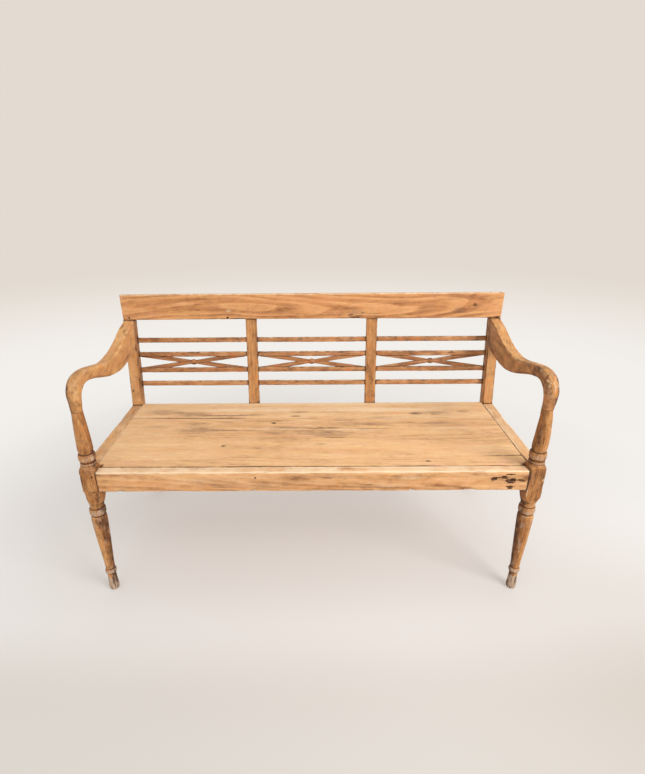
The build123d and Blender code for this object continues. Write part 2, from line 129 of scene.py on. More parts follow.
class Part:
    """A quad mesh under construction, in working millimetres."""

    def __init__(s, name):
        s.name = name; s.co = np.zeros((0, 3)); s.quads = np.zeros((0, 4), int)
        s.edge = np.zeros(0); s.seed = seed_of(name)

    def add(s, co, quads, edge):
        s.quads = np.vstack([s.quads, quads + len(s.co)]); s.co = np.vstack([s.co, co]); s.edge = np.concatenate([s.edge, edge])

    def loft(s, rings, A, B, along, lam=3.0, caps=(True, True), end_lam=3.0):
        """rings (M, N, 3), N = 2 (A + B); along (M,) distance from the first station; edge weight from corners and ends"""
        M, N, _ = rings.shape
        assert N == 2 * (A + B), (s.name, N, A, B)
        idx = np.arange(M * N).reshape(M, N)
        j = np.arange(N); jn = (j + 1) % N
        q = np.stack([idx[:-1][:, j], idx[:-1][:, jn], idx[1:][:, jn], idx[1:][:, j]], -1).reshape(-1, 4)
        corner = rings[:, [0, A, A + B, 2 * A + B], :]
        d = np.linalg.norm(rings[:, :, None, :] - corner[:, None, :, :], axis=-1).min(-1)
        e = np.exp(-d / lam)
        dist = np.minimum(along if caps[0] else along * 0 + 1e3, (along[-1] - along) if caps[1] else along * 0 + 1e3)
        e = np.maximum(e, np.exp(-dist / end_lam)[:, None] * 0.9)
        co = rings.reshape(-1, 3); ed = e.reshape(-1)
        add_co, add_q, add_e = [co], [q], [ed]
        n0 = len(co)
        for which in (0, 1):
            if not caps[which]:
                continue
            ri = 0 if which == 0 else M - 1
            R = rings[ri]
            G = np.zeros((A + 1, B + 1), int); PT = np.zeros((A + 1, B + 1, 3))
            i = np.arange(A + 1); k = np.arange(B + 1)
            bot = i; top = 2 * A + B - i; left = (N - k) % N; right = A + k
            u = (i / A)[:, None, None]; v = (k / B)[None, :, None]
            PT = (1 - v) * R[bot][:, None, :] + v * R[top][:, None, :] + (1 - u) * R[left][None] + u * R[right][None] \
                - ((1 - u) * (1 - v) * R[0] + u * (1 - v) * R[A] + u * v * R[A + B] + (1 - u) * v * R[2 * A + B])
            G[:, 0] = idx[ri][bot]; G[:, B] = idx[ri][top]; G[0, :] = idx[ri][left]; G[A, :] = idx[ri][right]
            inner = PT[1:-1, 1:-1].reshape(-1, 3)
            G[1:-1, 1:-1] = n0 + np.arange(len(inner)).reshape(A - 1, B - 1)
            dd = np.linalg.norm(inner[:, None, :] - R[None], axis=-1).min(1) if len(inner) else np.zeros(0)
            add_co.append(inner); add_e.append(0.9 * np.exp(-dd / end_lam)); n0 += len(inner)
            g = np.stack([G[:-1, :-1], G[1:, :-1], G[1:, 1:], G[:-1, 1:]], -1).reshape(-1, 4)
            add_q.append(g[:, ::-1] if which == 0 else g)
        s.add(np.vstack(add_co), np.vstack(add_q), np.concatenate(add_e))
        return s

    def normals(s):
        a, b, c, d = (s.co[s.quads[:, i]] for i in range(4))
        fn = np.cross(c - a, d - b)
        n = np.zeros_like(s.co)
        for i in range(4):
            for ax in range(3):
                n[:, ax] += np.bincount(s.quads[:, i], weights=fn[:, ax], minlength=len(s.co))
        ln = np.linalg.norm(n, axis=1); ln[ln == 0] = 1
        return n / ln[:, None]

    def mirror(s):
        s.co = s.co * np.array([-1, 1, 1]); s.quads = s.quads[:, ::-1]
        return s


def span(L, step, R=2.0, fine=()):
    """stations from 0 to L with rounded ends: distances and the inset of the section at each"""
    ph = np.linspace(0, math.pi / 2, 4)
    a = R * (1 - np.cos(ph))
    n = max(2, int(round((L - 2 * R) / step)))
    t = np.concatenate([a, np.linspace(R, L - R, n + 1)[1:-1], (L - a)[::-1]])
    for (f0, f1, st) in fine:
        t = t[(t < f0) | (t > f1)]
        t = np.concatenate([t, np.linspace(f0, f1, int(round((f1 - f0) / st)) + 1)])
    t = np.unique(np.round(np.sort(t), 5))
    d = np.minimum(t, L - t)
    inset = np.where(d < R, R - np.sqrt(np.maximum(R * R - (R - d) ** 2, 0)), 0.0)
    return t, inset


def corner_r(t, r0, var, seed, lo=0.8):
    """four corner radii at each station, wandering along the piece as worn edges do"""
    out = []
    for c in range(4):
        p = np.stack([t / 70.0, t * 0 + c * 7.7, t * 0], 1)
        out.append(r0 * (1 + var * fbm(p, seed + c, 3)))
    return np.maximum(np.stack(out, 1), lo)


def strip(name, P0, P1, U, V, hw, hh, r, q=2, na=6, nb=6, step=4.0, R=2.0, var=0.5, fine=(), remap=None, seed=None):
    """a straight sawn member from P0 to P1; hw and hh may be functions of the distance along, and give (half, shift)"""
    pt = Part(name); sd = pt.seed if seed is None else seed
    P0, P1 = np.array(P0, float), np.array(P1, float)
    L = np.linalg.norm(P1 - P0); Wd = (P1 - P0) / L
    assert np.dot(np.cross(U, V), Wd) > 0.9, name
    t, inset = span(L, step, R, fine)
    hwv = np.array([hw(x) if callable(hw) else (hw, 0.0) for x in t]); hhv = np.array([hh(x) if callable(hh) else (hh, 0.0) for x in t])
    rad = corner_r(t, r, var, sd)
    rad = np.minimum(rad, (np.minimum(hwv[:, 0], hhv[:, 0]) * 0.92)[:, None])
    sec = rrect(hwv[:, 0] - inset, hhv[:, 0] - inset, np.maximum(rad - inset[:, None] * 0.6, 0.4), q, na, nb)
    sec = sec + np.stack([hwv[:, 1], hhv[:, 1]], -1)[:, None, :]
    if remap is not None:
        sec = remap(sec, t)
    C = P0 + t[:, None] * Wd
    U = np.broadcast_to(np.array(U, float), C.shape); V = np.broadcast_to(np.array(V, float), C.shape)
    pt.loft(place(sec, C, U, V), 2 * q + na, 2 * q + nb, t)
    return pt


# ------------------------------------------------------------------ surface features, in working millimetres
class Skin:
    """Displaces a part and fills its wear, darkening, colour-shift and grey attributes; the darkening and colour-shift
    attributes carry real grime and random colour, and also painted shade and painted light.
    """

    def __init__(s, part, warp=0.45, wander=0.7, edge_wear=1.1, fibre=0.0):
        s.p = part; sd = part.seed
        s.rest = part.co.copy(); s.n = part.normals()
        p = s.rest
        n = len(p)
        s.wear = part.edge ** 1.6 * (0.55 + 0.45 * fbm(p / 18.0, sd + 1))
        s.dirt = np.zeros(n); s.tone = np.zeros(n); s.grey = np.zeros(n)
        d = warp * fbm(p / 120.0, sd + 2, 2) + 0.16 * fbm(p / 22.0, sd + 3, 2)
        nick = np.maximum(0, fbm(p / 9.0, sd + 4, 2) - 0.12)
        d = d - edge_wear * 1.9 * nick * part.edge ** 1.5
        s.wear += nick * part.edge * 1.2
        s.disp = d
        s.shift = np.stack([fbm(p / 260.0, sd + 5 + k, 2) for k in range(3)], 1) * wander

    def dent(s, c, r, depth, dirt=0.0, wear=0.0, tone=0.0, ragged=0.35, power=1.0, face=None):
        """an ellipsoidal dent, gouge or stain of semi-axes r about c"""
        q = (s.rest - np.array(c, float)) / np.array(r, float)
        d = np.linalg.norm(q, axis=1) + ragged * fbm(s.rest / (0.35 * max(r)), s.p.seed + int(abs(sum(c))) % 997, 2)
        m = sm(1.0, 0.35, d) ** power
        if face is not None:
            m = m * (s.n @ np.array(face, float) > 0.3)
        s.disp -= depth * m; s.dirt += dirt * m; s.wear += wear * m; s.tone += tone * m
        return s

    def near(s, c, r):
        q = (s.rest - np.array(c, float)) / np.array(r, float)
        return sm(1.0, 0.0, np.linalg.norm(q, axis=1))

    def grimy(s, k, w):
        """dark, greasy arrises instead of bleached ones"""
        s.wear *= w; s.dirt += k * s.p.edge * np.clip(0.50 + 0.95 * fbm(s.rest / 20.0, s.p.seed + 15, 2), 0, 1)

    def apply(s):
        s.p.co = s.rest + s.n * s.disp[:, None] + s.shift
        return s


MATS = {}


def build(skin, gp, mat, node=None, level=None):
    """makes the Blender object from a finished skin; gp (n, 3) grain coordinates in metres"""
    p = skin.p
    co = (p.co - np.array([0, YC, 0])) / 1000.0
    quads = p.quads
    a = co[quads]
    vol = np.einsum("ij,ij->i", a[:, 0], np.cross(a[:, 1], a[:, 2])).sum() + np.einsum("ij,ij->i", a[:, 0], np.cross(a[:, 2], a[:, 3])).sum()
    if vol < 0:
        quads = quads[:, ::-1]
    me = bpy.data.meshes.new(p.name)
    me.vertices.add(len(co)); me.vertices.foreach_set("co", co.astype(np.float32).ravel())
    me.loops.add(4 * len(quads)); me.loops.foreach_set("vertex_index", np.ascontiguousarray(quads).astype(np.int32).ravel())
    me.polygons.add(len(quads)); me.polygons.foreach_set("loop_start", (np.arange(len(quads)) * 4).astype(np.int32))
    me.update(calc_edges=True)
    assert not me.validate(), p.name
    me.polygons.foreach_set("use_smooth", np.ones(len(quads), bool))
    return finish_mesh(me, p.name, gp, skin.wear, skin.dirt, skin.tone, skin.grey, mat, node)


def finish_mesh(me, name, gp, wear, dirt, tone, grey, mat, node):
    at = me.attributes.new("gp", "FLOAT_VECTOR", "POINT"); at.data.foreach_set("vector", gp.astype(np.float32).ravel())
    for nm, arr in (("wear", wear), ("dirt", dirt), ("tone", tone), ("grey", grey)):
        at = me.attributes.new(nm, "FLOAT", "POINT"); at.data.foreach_set("value", np.asarray(arr).astype(np.float32))
    me.materials.append(mat)
    ob = bpy.data.objects.new(name, me)
    bpy.context.scene.collection.objects.link(ob)
    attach(ob, "root")
    if node is not None:
        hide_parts(*([node] if isinstance(node, str) else node))
    return ob


def grain(co, along, a1, a2, origin, pith, tilt=(0.0, 0.0), seed=0, jitter=0.0):
    """grain coordinates in metres: (along, across, across) measured from a pith line that misses origin by pith (mm), tilted"""
    d = co - np.array(origin, float)
    g = np.stack([d @ np.array(along, float), d @ np.array(a1, float), d @ np.array(a2, float)], 1)
    g[:, 1] += pith[0] + g[:, 0] * tilt[0]
    g[:, 2] += pith[1] + g[:, 0] * tilt[1]
    g[:, 0] += (seed % 911) * 3.7
    return g / 1000.0


# ------------------------------------------------------------------ node expressions
class X:
    def __init__(s, g, k):
        s.g, s.k = g, k

    def _op(s, op, o, swap=False, clamp=False):
        return s.g.math(op, o, s) if swap else s.g.math(op, s, o)

    def __add__(s, o): return s._op("ADD", o)
    __radd__ = __add__
    def __sub__(s, o): return s._op("SUBTRACT", o)
    def __rsub__(s, o): return s._op("SUBTRACT", o, True)
    def __mul__(s, o): return s._op("MULTIPLY", o)
    __rmul__ = __mul__
    def __truediv__(s, o): return s._op("DIVIDE", o)


class G:
    """a small writer of shader nodes"""

    def __init__(s, name):
        s.mat = bpy.data.materials.new(name); s.mat.use_nodes = True
        s.t = s.mat.node_tree; s.N = s.t.nodes; s.L = s.t.links
        s.N.clear()
        s.out = s.N.new("ShaderNodeOutputMaterial"); s.bsdf = s.N.new("ShaderNodeBsdfPrincipled")
        s.L.new(s.bsdf.outputs[0], s.out.inputs[0])

    def put(s, sock, v):
        if isinstance(v, X):
            s.L.new(v.k, sock)
        else:
            sock.default_value = v

    def math(s, op, a, b=None, c=None, clamp=False):
        n = s.N.new("ShaderNodeMath"); n.operation = op; n.use_clamp = clamp
        s.put(n.inputs[0], a)
        if b is not None: s.put(n.inputs[1], b)
        if c is not None: s.put(n.inputs[2], c)
        return X(s, n.outputs[0])

    def attr(s, name, vec=False):
        n = s.N.new("ShaderNodeAttribute"); n.attribute_name = name
        return X(s, n.outputs["Vector" if vec else "Fac"])

    def obj(s):
        return X(s, s.N.new("ShaderNodeTexCoord").outputs["Object"])

    def vmul(s, v, k):
        n = s.N.new("ShaderNodeVectorMath"); n.operation = "MULTIPLY"; s.put(n.inputs[0], v); n.inputs[1].default_value = k
        return X(s, n.outputs[0])

    def vadd(s, v, k):
        n = s.N.new("ShaderNodeVectorMath"); n.operation = "ADD"; s.put(n.inputs[0], v)
        if isinstance(k, X): s.put(n.inputs[1], k)
        else: n.inputs[1].default_value = k
        return X(s, n.outputs[0])

    def vlen(s, v):
        n = s.N.new("ShaderNodeVectorMath"); n.operation = "LENGTH"; s.put(n.inputs[0], v)
        return X(s, n.outputs["Value"])

    def sep(s, v):
        n = s.N.new("ShaderNodeSeparateXYZ"); s.put(n.inputs[0], v)
        return [X(s, o) for o in n.outputs]

    def noise(s, v, k, detail=2.0, rough=0.5, color=False, dist=0.0):
        n = s.N.new("ShaderNodeTexNoise"); s.put(n.inputs["Vector"], s.vmul(v, k))
        n.inputs["Scale"].default_value = 1.0; n.inputs["Detail"].default_value = detail; n.inputs["Roughness"].default_value = rough
        n.inputs["Distortion"].default_value = dist
        return X(s, n.outputs["Color" if color else ("Fac" if "Fac" in n.outputs else 0)])

    def smooth(s, x, a, b, lo=0.0, hi=1.0):
        n = s.N.new("ShaderNodeMapRange"); n.interpolation_type = "SMOOTHSTEP"; s.put(n.inputs[0], x)
        n.inputs[1].default_value = a; n.inputs[2].default_value = b; n.inputs[3].default_value = lo; n.inputs[4].default_value = hi
        return X(s, n.outputs[0])

    def ramp(s, x, stops):
        n = s.N.new("ShaderNodeValToRGB"); s.put(n.inputs[0], x)
        el = n.color_ramp.elements
        while len(el) < len(stops): el.new(0.5)
        for e, (pos, col) in zip(el, stops):
            e.position = pos; e.color = (*col, 1)
        return X(s, n.outputs[0])

    def mix(s, f, a, b, mode="MIX"):
        n = s.N.new("ShaderNodeMix"); n.data_type = "RGBA"; n.blend_type = mode; n.clamp_factor = True
        s.put(n.inputs[0], f)
        for sock, v in ((n.inputs[6], a), (n.inputs[7], b)):
            if isinstance(v, X): s.L.new(v.k, sock)
            else: sock.default_value = (*v, 1)
        return X(s, n.outputs[2])


def lin(r, g, b):
    return tuple((c / 255 / 12.92) if c / 255 <= 0.04045 else ((c / 255 + 0.055) / 1.055) ** 2.4 for c in (r, g, b))


def teak(name, light, mid, dark, wearc=(238, 214, 178), dirtc=(74, 46, 28), greyc=(168, 146, 122), deep=(60, 38, 24),
         ring=0.34, streak=0.62, large=0.42, ringsp=0.0052, figure=1.0, rough=0.66, spots=(), pores=0.32, wear_gain=1.0,
         mottle=0.0, bump=0.75, warm=(206, 122, 66), stainc=(120, 98, 70), pinkc=(216, 152, 120), yelc=(226, 176, 106), grime=0.3,
         blotch=0.3, orangec=(204, 126, 62), duskc=(122, 88, 60)):
    g = G(name)
    P = g.attr("gp", True)
    wear, dirt, tone, grey = (g.attr(k) for k in ("wear", "dirt", "tone", "grey"))
    gx, gy, gz = g.sep(P)
    n1 = g.noise(P, (1.3, 8, 8), 2); n2 = g.noise(P, (5, 48, 48), 2)
    r = g.math("SQRT", gy * gy + gz * gz) + (n1 - 0.5) * (0.034 * figure) + (n2 - 0.5) * 0.0045
    t = r / ringsp + g.noise(P, (0.7, 4, 4), 1) * 4.0
    fr = g.math("FRACT", t)
    late = g.smooth(fr, 0.25, 0.90) * g.smooth(fr, 0.91, 1.0, 1.0, 0.0)
    st1 = g.noise(P, (5.5, 105, 105), 4, 0.62)
    st2 = g.noise(P, (12, 380, 380), 3, 0.6)
    fine = g.noise(P, (45, 1500, 1500), 2, 0.6)
    lg = g.noise(P, (2.4, 12, 12), 3, 0.55)
    fig = g.noise(P, (1.1, 30, 30), 3, 0.5, dist=0.6)
    # the per-vertex colour-shift attribute moves the ramp; it holds random colour and also painted light and shade
    v = (late - 0.42) * ring + (st1 - 0.5) * streak + (st2 - 0.5) * (streak * 0.55) + (lg - 0.5) * large + (fig - 0.5) * large * 0.8 + (fine - 0.5) * 0.16 + tone + 0.5
    mot = g.noise(P, (26, 62, 62), 5, 0.68)
    big = g.noise(P, (6.5, 26, 26), 3, 0.6)
    O = g.obj()
    spk = g.noise(O, (330, 330, 330), 3, 0.7)
    v = v + (mot - 0.5) * mottle + (big - 0.5) * mottle * 0.7 + (spk - 0.5) * 0.26
    col = g.ramp(v, [(0.04, lin(*dark)), (0.5, lin(*mid)), (0.94, lin(*light))])
    # redder, pinker and yellower drifts, and orange and dusky blotches
    hue = g.noise(P, (3.1, 20, 20), 3, 0.6)
    hue2 = g.noise(P, (9.0, 44, 44), 4, 0.65)
    col = g.mix(g.smooth(hue, 0.54, 0.74, 0, 0.34), col, lin(*warm), "MIX")
    col = g.mix(g.smooth(hue2, 0.53, 0.72, 0, 0.42), col, lin(*pinkc), "MIX")
    col = g.mix(g.smooth(hue2, 0.47, 0.30, 0, 0.42), col, lin(*yelc), "MIX")
    blo = g.noise(O, (30, 30, 30), 4, 0.64)
    col = g.mix(g.smooth(blo, 0.53, 0.68, 0, blotch), col, lin(*orangec))
    col = g.mix(g.smooth(blo, 0.44, 0.29, 0, blotch * 0.9), col, lin(*duskc))
    # old grime left in the low grain
    gr = g.smooth(mot + (st1 - 0.5) * 0.6 + (big - 0.5) * 0.5, 0.40, 0.20)
    col = g.mix(gr * grime, col, lin(*dirtc))
    # pores and short vessels
    pm = g.smooth(g.noise(P, (26, 760, 760), 2, 0.55), 0.60, 0.70)
    col = g.mix(pm * pores, col, lin(*dirtc))
    # local marks: (x, y, z, rx, ry, rz, strength, kind) in the frame, metres
    darkm = None; height = (st2 - 0.5) * 0.28 + (fine - 0.5) * 0.10 - late * 0.10 - pm * 0.16 + (st1 - 0.5) * 0.22
    if spots:
        wob = g.noise(O, (38, 90, 90), 3, 0.6, color=True)
        O2 = g.vadd(O, g.vadd(g.vmul(wob, (0.016, 0.009, 0.009)), (-0.008, -0.0045, -0.0045)))
        brk = g.noise(P, (22, 260, 260), 3, 0.6)
        rag = g.noise(O, (85, 190, 190), 4, 0.7)
        brk2 = g.smooth(g.noise(P, (34, 460, 460), 3, 0.65), 0.36, 0.60, 0.42, 1.12)
        acc = {}
        for (x, y, z, rx, ry, rz, k, kind) in spots:
            src = O if kind == "hole" else O2
            d = g.vlen(g.vmul(g.vadd(src, (-x, -y, -z)), (1 / rx, 1 / ry, 1 / rz)))
            if kind == "gouge":
                m = g.smooth(d + (rag - 0.5) * 2.4, 1.05, 0.60) * k
            elif kind in ("hole", "knot"):
                m = g.smooth(d, 1.05, 0.62) * k
            else:
                m = g.smooth(d + (rag - 0.5) * 0.9, 1.18, 0.20) * g.smooth(brk, 0.32, 0.56) * brk2 * k
            acc[kind] = m if kind not in acc else g.math("MAXIMUM", acc[kind], m)
        if "stain" in acc: col = g.mix(acc["stain"], col, lin(*stainc))
        if "warm" in acc: col = g.mix(acc["warm"], col, lin(*warm))
        if "streak" in acc: col = g.mix(acc["streak"], col, lin(*deep)); height = height - acc["streak"] * 0.5
        if "gouge" in acc:
            col = g.mix(acc["gouge"], col, g.ramp(rag, [(0.30, lin(52, 32, 20)), (0.52, lin(104, 66, 40)), (0.70, lin(170, 112, 70))])); height = height - acc["gouge"] * 1.2
        if "knot" in acc:
            col = g.mix(acc["knot"], col, lin(*deep)); height = height - acc["knot"] * 0.4
        if "pale" in acc: col = g.mix(acc["pale"], col, lin(*wearc))
        if "hole" in acc: col = g.mix(acc["hole"], col, lin(24, 15, 10)); height = height - acc["hole"] * 2.2
    wn = g.noise(P, (16, 210, 210), 3, 0.6)
    wf = g.smooth(wear * wear_gain + (wn - 0.5) * 0.75, 0.22, 0.86)
    col = g.mix(wf * 0.8, col, lin(*wearc))
    gf = g.smooth(grey + (wn - 0.5) * 0.5, 0.15, 0.9)
    col = g.mix(gf * 0.85, col, lin(*greyc))
    # the darkening attribute pulls towards the dark colour; it holds real grime and also painted shade
    df = g.smooth(dirt + (g.noise(P, (30, 160, 160), 3, 0.6) - 0.5) * 0.5, 0.12, 0.85)
    col = g.mix(df * 0.92, col, lin(*dirtc))
    g.L.new(col.k, g.bsdf.inputs["Base Color"])
    ro = (st1 - 0.5) * 0.22 + (st2 - 0.5) * 0.12 + df * 0.14 + pm * 0.08 - wf * 0.05 + rough
    g.L.new(g.math("MINIMUM", ro, 0.96).k, g.bsdf.inputs["Roughness"])
    g.bsdf.inputs["IOR"].default_value = 1.45
    g.bsdf.inputs["Specular IOR Level"].default_value = 0.34
    b = g.N.new("ShaderNodeBump"); b.inputs["Strength"].default_value = bump; b.inputs["Distance"].default_value = 0.001
    g.L.new((height - df * 0.2).k, b.inputs["Height"])
    g.L.new(b.outputs[0], g.bsdf.inputs["Normal"])
    return g.mat


def fm(x, y, z):
    """working millimetres -> frame metres"""
    return (x / 1000.0, (y - YC) / 1000.0, z / 1000.0)


def mk(x, y, z, rx, ry, rz, k, kind):
    return (*fm(x, y, z), rx / 1000.0, ry / 1000.0, rz / 1000.0, k, kind)


S5 = SEAT
seat_marks = [
    mk(-340, 372, S5, 150, 6.5, 6, .90, "streak"), mk(-230, 378, S5, 70, 5, 6, .9, "streak"),
    mk(-560, 404, S5, 85, 30, 6, .70, "stain"), mk(-445, 384, S5, 75, 26, 6, .85, "stain"), mk(-500, 398, S5, 40, 9, 6, .6, "streak"),
    mk(-400, 258, S5, 95, 38, 6, .70, "stain"), mk(-285, 256, S5, 105, 7.5, 6, .95, "streak"),
    mk(-146, 198, S5, 48, 5.5, 6, .95, "streak"), mk(-128, 232, S5, 70, 12, 6, .65, "stain"),
    mk(-138, 309, S5, 12, 6, 6, .9, "knot"), mk(-296, 141, S5, 9, 6, 6, .8, "knot"),
    mk(30, 269, S5, 120, 10, 6, .95, "streak"), mk(40, 238, S5, 115, 26, 6, .85, "stain"),
    mk(-95, 272, S5, 85, 12, 6, .75, "stain"), mk(76, 200, S5, 44, 6.5, 6, .9, "streak"), mk(60, 216, S5, 80, 15, 6, .6, "stain"),
    mk(-48, 401, S5, 46, 12, 6, .80, "stain"), mk(-60, 366, S5, 26, 7, 6, .9, "streak"),
    mk(392, 384, S5, 38, 14, 6, 1.0, "stain"), mk(392, 384, S5, 30, 9, 6, .95, "streak"), mk(468, 380, S5, 26, 10, 6, .85, "streak"),
    mk(460, 388, S5, 70, 19, 6, .7, "stain"), mk(316, 391, S5, 44, 14, 6, .7, "warm"), mk(474, 309, S5, 28, 6.5, 6, .95, "streak"),
    mk(440, 300, S5, 70, 17, 6, .65, "stain"), mk(575, 402, S5, 32, 13, 6, .8, "stain"), mk(550, 232, S5, 32, 6.5, 6, .65, "stain"),
    mk(366, 40, S5, 11, 6, 6, .85, "knot"), mk(346, 312, S5, 66, 8, 6, .8, "warm"), mk(345, 311, S5, 54, 4.5, 6, .7, "streak"),
    mk(27, 152, S5, 22, 5, 6, .7, "streak"), mk(-154, 325, S5, 120, 6, 6, .65, "streak"), mk(180, 300, S5, 130, 18, 6, .7, "stain"),
    mk(200, 262, S5, 100, 6, 6, .75, "streak"), mk(0, 470, S5, 700, 15, 6, .62, "pale"), mk(-250, 420, S5, 300, 20, 6, .95, "pale"), mk(250, 418, S5, 300, 20, 6, .92, "pale"), mk(-160, 262, S5, 190, 8, 6, .6, "pale"), mk(140, 256, S5, 130, 8, 6, .6, "pale"), mk(-560, 280, S5, 60, 20, 6, .35, "stain"), mk(120, 330, S5, 70, 10, 6, .6, "stain"),
    mk(-420, 300, S5, 60, 20, 6, .55, "stain"), mk(250, 350, S5, 70, 17, 6, .5, "stain"), mk(-500, 120, S5, 100, 18, 6, .45, "warm"),
    mk(100, 110, S5, 230, 24, 6, .45, "warm"), mk(-250, 100, S5, 150, 20, 6, .4, "warm"), mk(430, 120, S5, 170, 20, 6, .4, "warm"),
    mk(-200, 430, S5, 130, 20, 6, .5, "pale"), mk(150, 430, S5, 170, 22, 6, .5, "pale"), mk(-30, 330, S5, 80, 9, 6, .45, "pale"),
    mk(520, 440, S5, 110, 18, 6, .4, "pale"), mk(300, 335, S5, 90, 9, 6, .4, "pale"), mk(-300, 335, S5, 90, 9, 6, .4, "pale"),
    mk(-20, 290, S5, 40, 5, 6, .6, "pale"), mk(180, 240, S5, 60, 6, 6, .45, "pale"), mk(-560, 220, S5, 90, 20, 6, .35, "pale"),
    mk(500, 260, S5, 120, 14, 6, .35, "pale"), mk(260, 385, S5, 60, 8, 6, .4, "stain"), mk(90, 400, S5, 70, 8, 6, .45, "stain"),
]
bx, bo = 0.0, -8.0


def on_back(x, s, off=-8.0):
    v = ORG + np.array([x, 0, 0]) + s * UP + off * BK
    return v


def mb(x, s, rx, rs, k, kind, off=-8.0, rd=6):
    v = on_back(x, s, off)
    return mk(v[0], v[1], v[2], rx, rd, rs, k, kind)


crest_marks = [
    mb(-316, 337.5, 4.6, 4.6, 1.0, "hole"), mb(-687, 337.5, 3.6, 3.6, .9, "hole"), mb(-278, 332, 34, 2.2, .95, "streak"),
    mb(-312, 362, 14, 9, .5, "pale"), mb(168, 350, 40, 18, .75, "stain"), mb(146, 346, 13, 4, .7, "gouge"), mb(178, 340, 20, 3.5, .75, "gouge"), mb(158, 336, 26, 3, .8, "streak"),
    mb(196, 352, 16, 2.6, .7, "streak"), mb(134, 356, 14, 2.6, .6, "streak"),
    mb(238, 348, 34, 3.0, .75, "streak"), mb(552, 361, 24, 13, .62, "stain"), mb(555, 352, 12, 7, .45, "streak"),
    mb(610, 379, 9, 7, .7, "knot"), mb(250, 337, 30, 4, .6, "streak"), mb(-430, 366, 26, 3, .5, "streak"), mb(-330, 366, 60, 2.5, .55, "streak"),
    mb(-560, 404, 90, 7, .45, "warm"), mb(-200, 395, 200, 7, .4, "warm"), mb(80, 400, 160, 8, .4, "warm"), mb(520, 402, 60, 6, .4, "stain"),
    mb(350, 380, 120, 6, .35, "warm"), mb(-120, 342, 60, 6, .35, "warm"),
]
F0 = -22.5
rail_marks = [
    mk(552, F0, 449, 12, 8, 7, 1.0, "gouge"), mk(579, F0, 454, 20, 8, 6, .95, "gouge"), mk(600, F0, 464, 14, 8, 4, .9, "gouge"),
    mk(608, F0, 442, 20, 8, 9, 1.0, "gouge"), mk(603, F0, 418.5, 13, 8, 5, 1.0, "gouge"), mk(636, F0, 443, 16, 8, 4.5, .8, "gouge"),
    mk(612, F0, 443, 8, 8, 4.5, .9, "knot"), mk(603, F0, 418.5, 6, 8, 2.6, .9, "knot"), mk(552, F0, 449, 5, 8, 3, .8, "knot"),
    mk(594, F0, 446, 56, 8, 17, .55, "stain"), mk(-172, F0, 456, 3.4, 6, 3.4, .95, "hole"), mk(44, F0, 455, 24, 8, 4, .85, "streak"),
    mk(166, F0, 430, 36, 8, 3.5, .75, "streak"), mk(150, F0, 427, 70, 8, 8, .55, "stain"), mk(-270, F0, 434, 110, 8, 16, .55, "stain"),
    mk(-150, F0, 430, 80, 8, 18, .50, "stain"), mk(-590, F0, 411, 14, 8, 3, .85, "streak"), mk(-180, F0, 410, 14, 8, 3, .8, "streak"),
    mk(440, F0, 440, 150, 8, 16, .4, "warm"), mk(-500, F0, 440, 140, 8, 14, .4, "warm"), mk(510, F0, 462, 60, 8, 10, .4, "stain"),
    mk(60, F0, 460, 140, 8, 7, .4, "stain"), mk(-30, F0, 440, 70, 8, 9, .4, "stain"), mk(300, F0, 455, 60, 8, 8, .4, "pale"),
    mk(-360, F0, 448, 70, 8, 9, .35, "pale"), mk(230, F0, 425, 60, 8, 8, .3, "pale"), mk(-420, F0, 424, 90, 8, 8, .35, "warm"),
    mk(-290, F0, 446, 22, 8, 9, .4, "stain"), mk(0, F0, 424, 90, 8, 9, .35, "warm"),
]
leg_marks = [
    mk(-667, -24.5, 463, 3.2, 8, 3.2, .95, "hole"), mk(-671, -24.5, 407, 3.2, 8, 3.2, .9, "hole"), mk(-683, -21, 299, 9, 10, 7, .6, "streak"),
    mk(-680, -21, 276, 7, 10, 16, .8, "streak"), mk(-672, -16, 60, 2.2, 12, 22, .9, "streak"), mk(694, -24.5, 446, 9, 9, 5, .6, "streak"),
    mk(703, -24.5, 428, 6, 9, 5, .6, "streak"), mk(660, -20, 300, 5, 9, 9, .5, "streak"), mk(676, -22, 395, 4, 9, 16, .6, "streak"),
    mk(-690, -24.5, 440, 5, 9, 18, .5, "streak"), mk(-700, -24.5, 390, 4, 9, 12, .4, "streak"),
]
post_marks = [mk(-699.6, 477, 534, 9, 12, 10, .8, "stain"), mk(-700, 477, 534, 4, 12, 4.5, .6, "knot"), mk(-690, 500, 700, 6, 30, 14, .4, "stain"), mk(690, 480, 620, 6, 30, 20, .4, "stain")]

MATS["seat"] = teak("teak_seat", (240, 205, 158), (221, 174, 124), (150, 106, 70), ring=0.12, streak=0.29, large=0.36, ringsp=0.009, figure=1.3,
                    spots=seat_marks, rough=0.66, mottle=0.44, warm=(224, 158, 104), stainc=(138, 108, 86), pinkc=(228, 176, 146), yelc=(230, 190, 128), grime=0.16,
                    blotch=0.14, orangec=(224, 160, 98), duskc=(170, 132, 98))
MATS["crest"] = teak("teak_crest", (226, 172, 118), (201, 142, 90), (128, 76, 42), ring=0.34, streak=0.52, large=0.46, ringsp=0.0105, figure=1.5,
                     spots=crest_marks, rough=0.64, mottle=0.50, warm=(192, 122, 74), stainc=(136, 104, 78), pinkc=(212, 150, 112), yelc=(220, 168, 104), grime=0.30,
                     blotch=0.26, orangec=(212, 138, 74), duskc=(146, 100, 66))
MATS["rail"] = teak("teak_rail", (234, 186, 136), (213, 159, 108), (138, 86, 50), ring=0.20, streak=0.54, large=0.66, ringsp=0.0095, figure=1.4,
                    spots=rail_marks, rough=0.66, mottle=0.80, warm=(212, 140, 80), stainc=(156, 118, 90), pinkc=(220, 164, 128), yelc=(228, 180, 116), grime=0.28,
                    blotch=0.26, orangec=(220, 144, 80), duskc=(160, 114, 78))
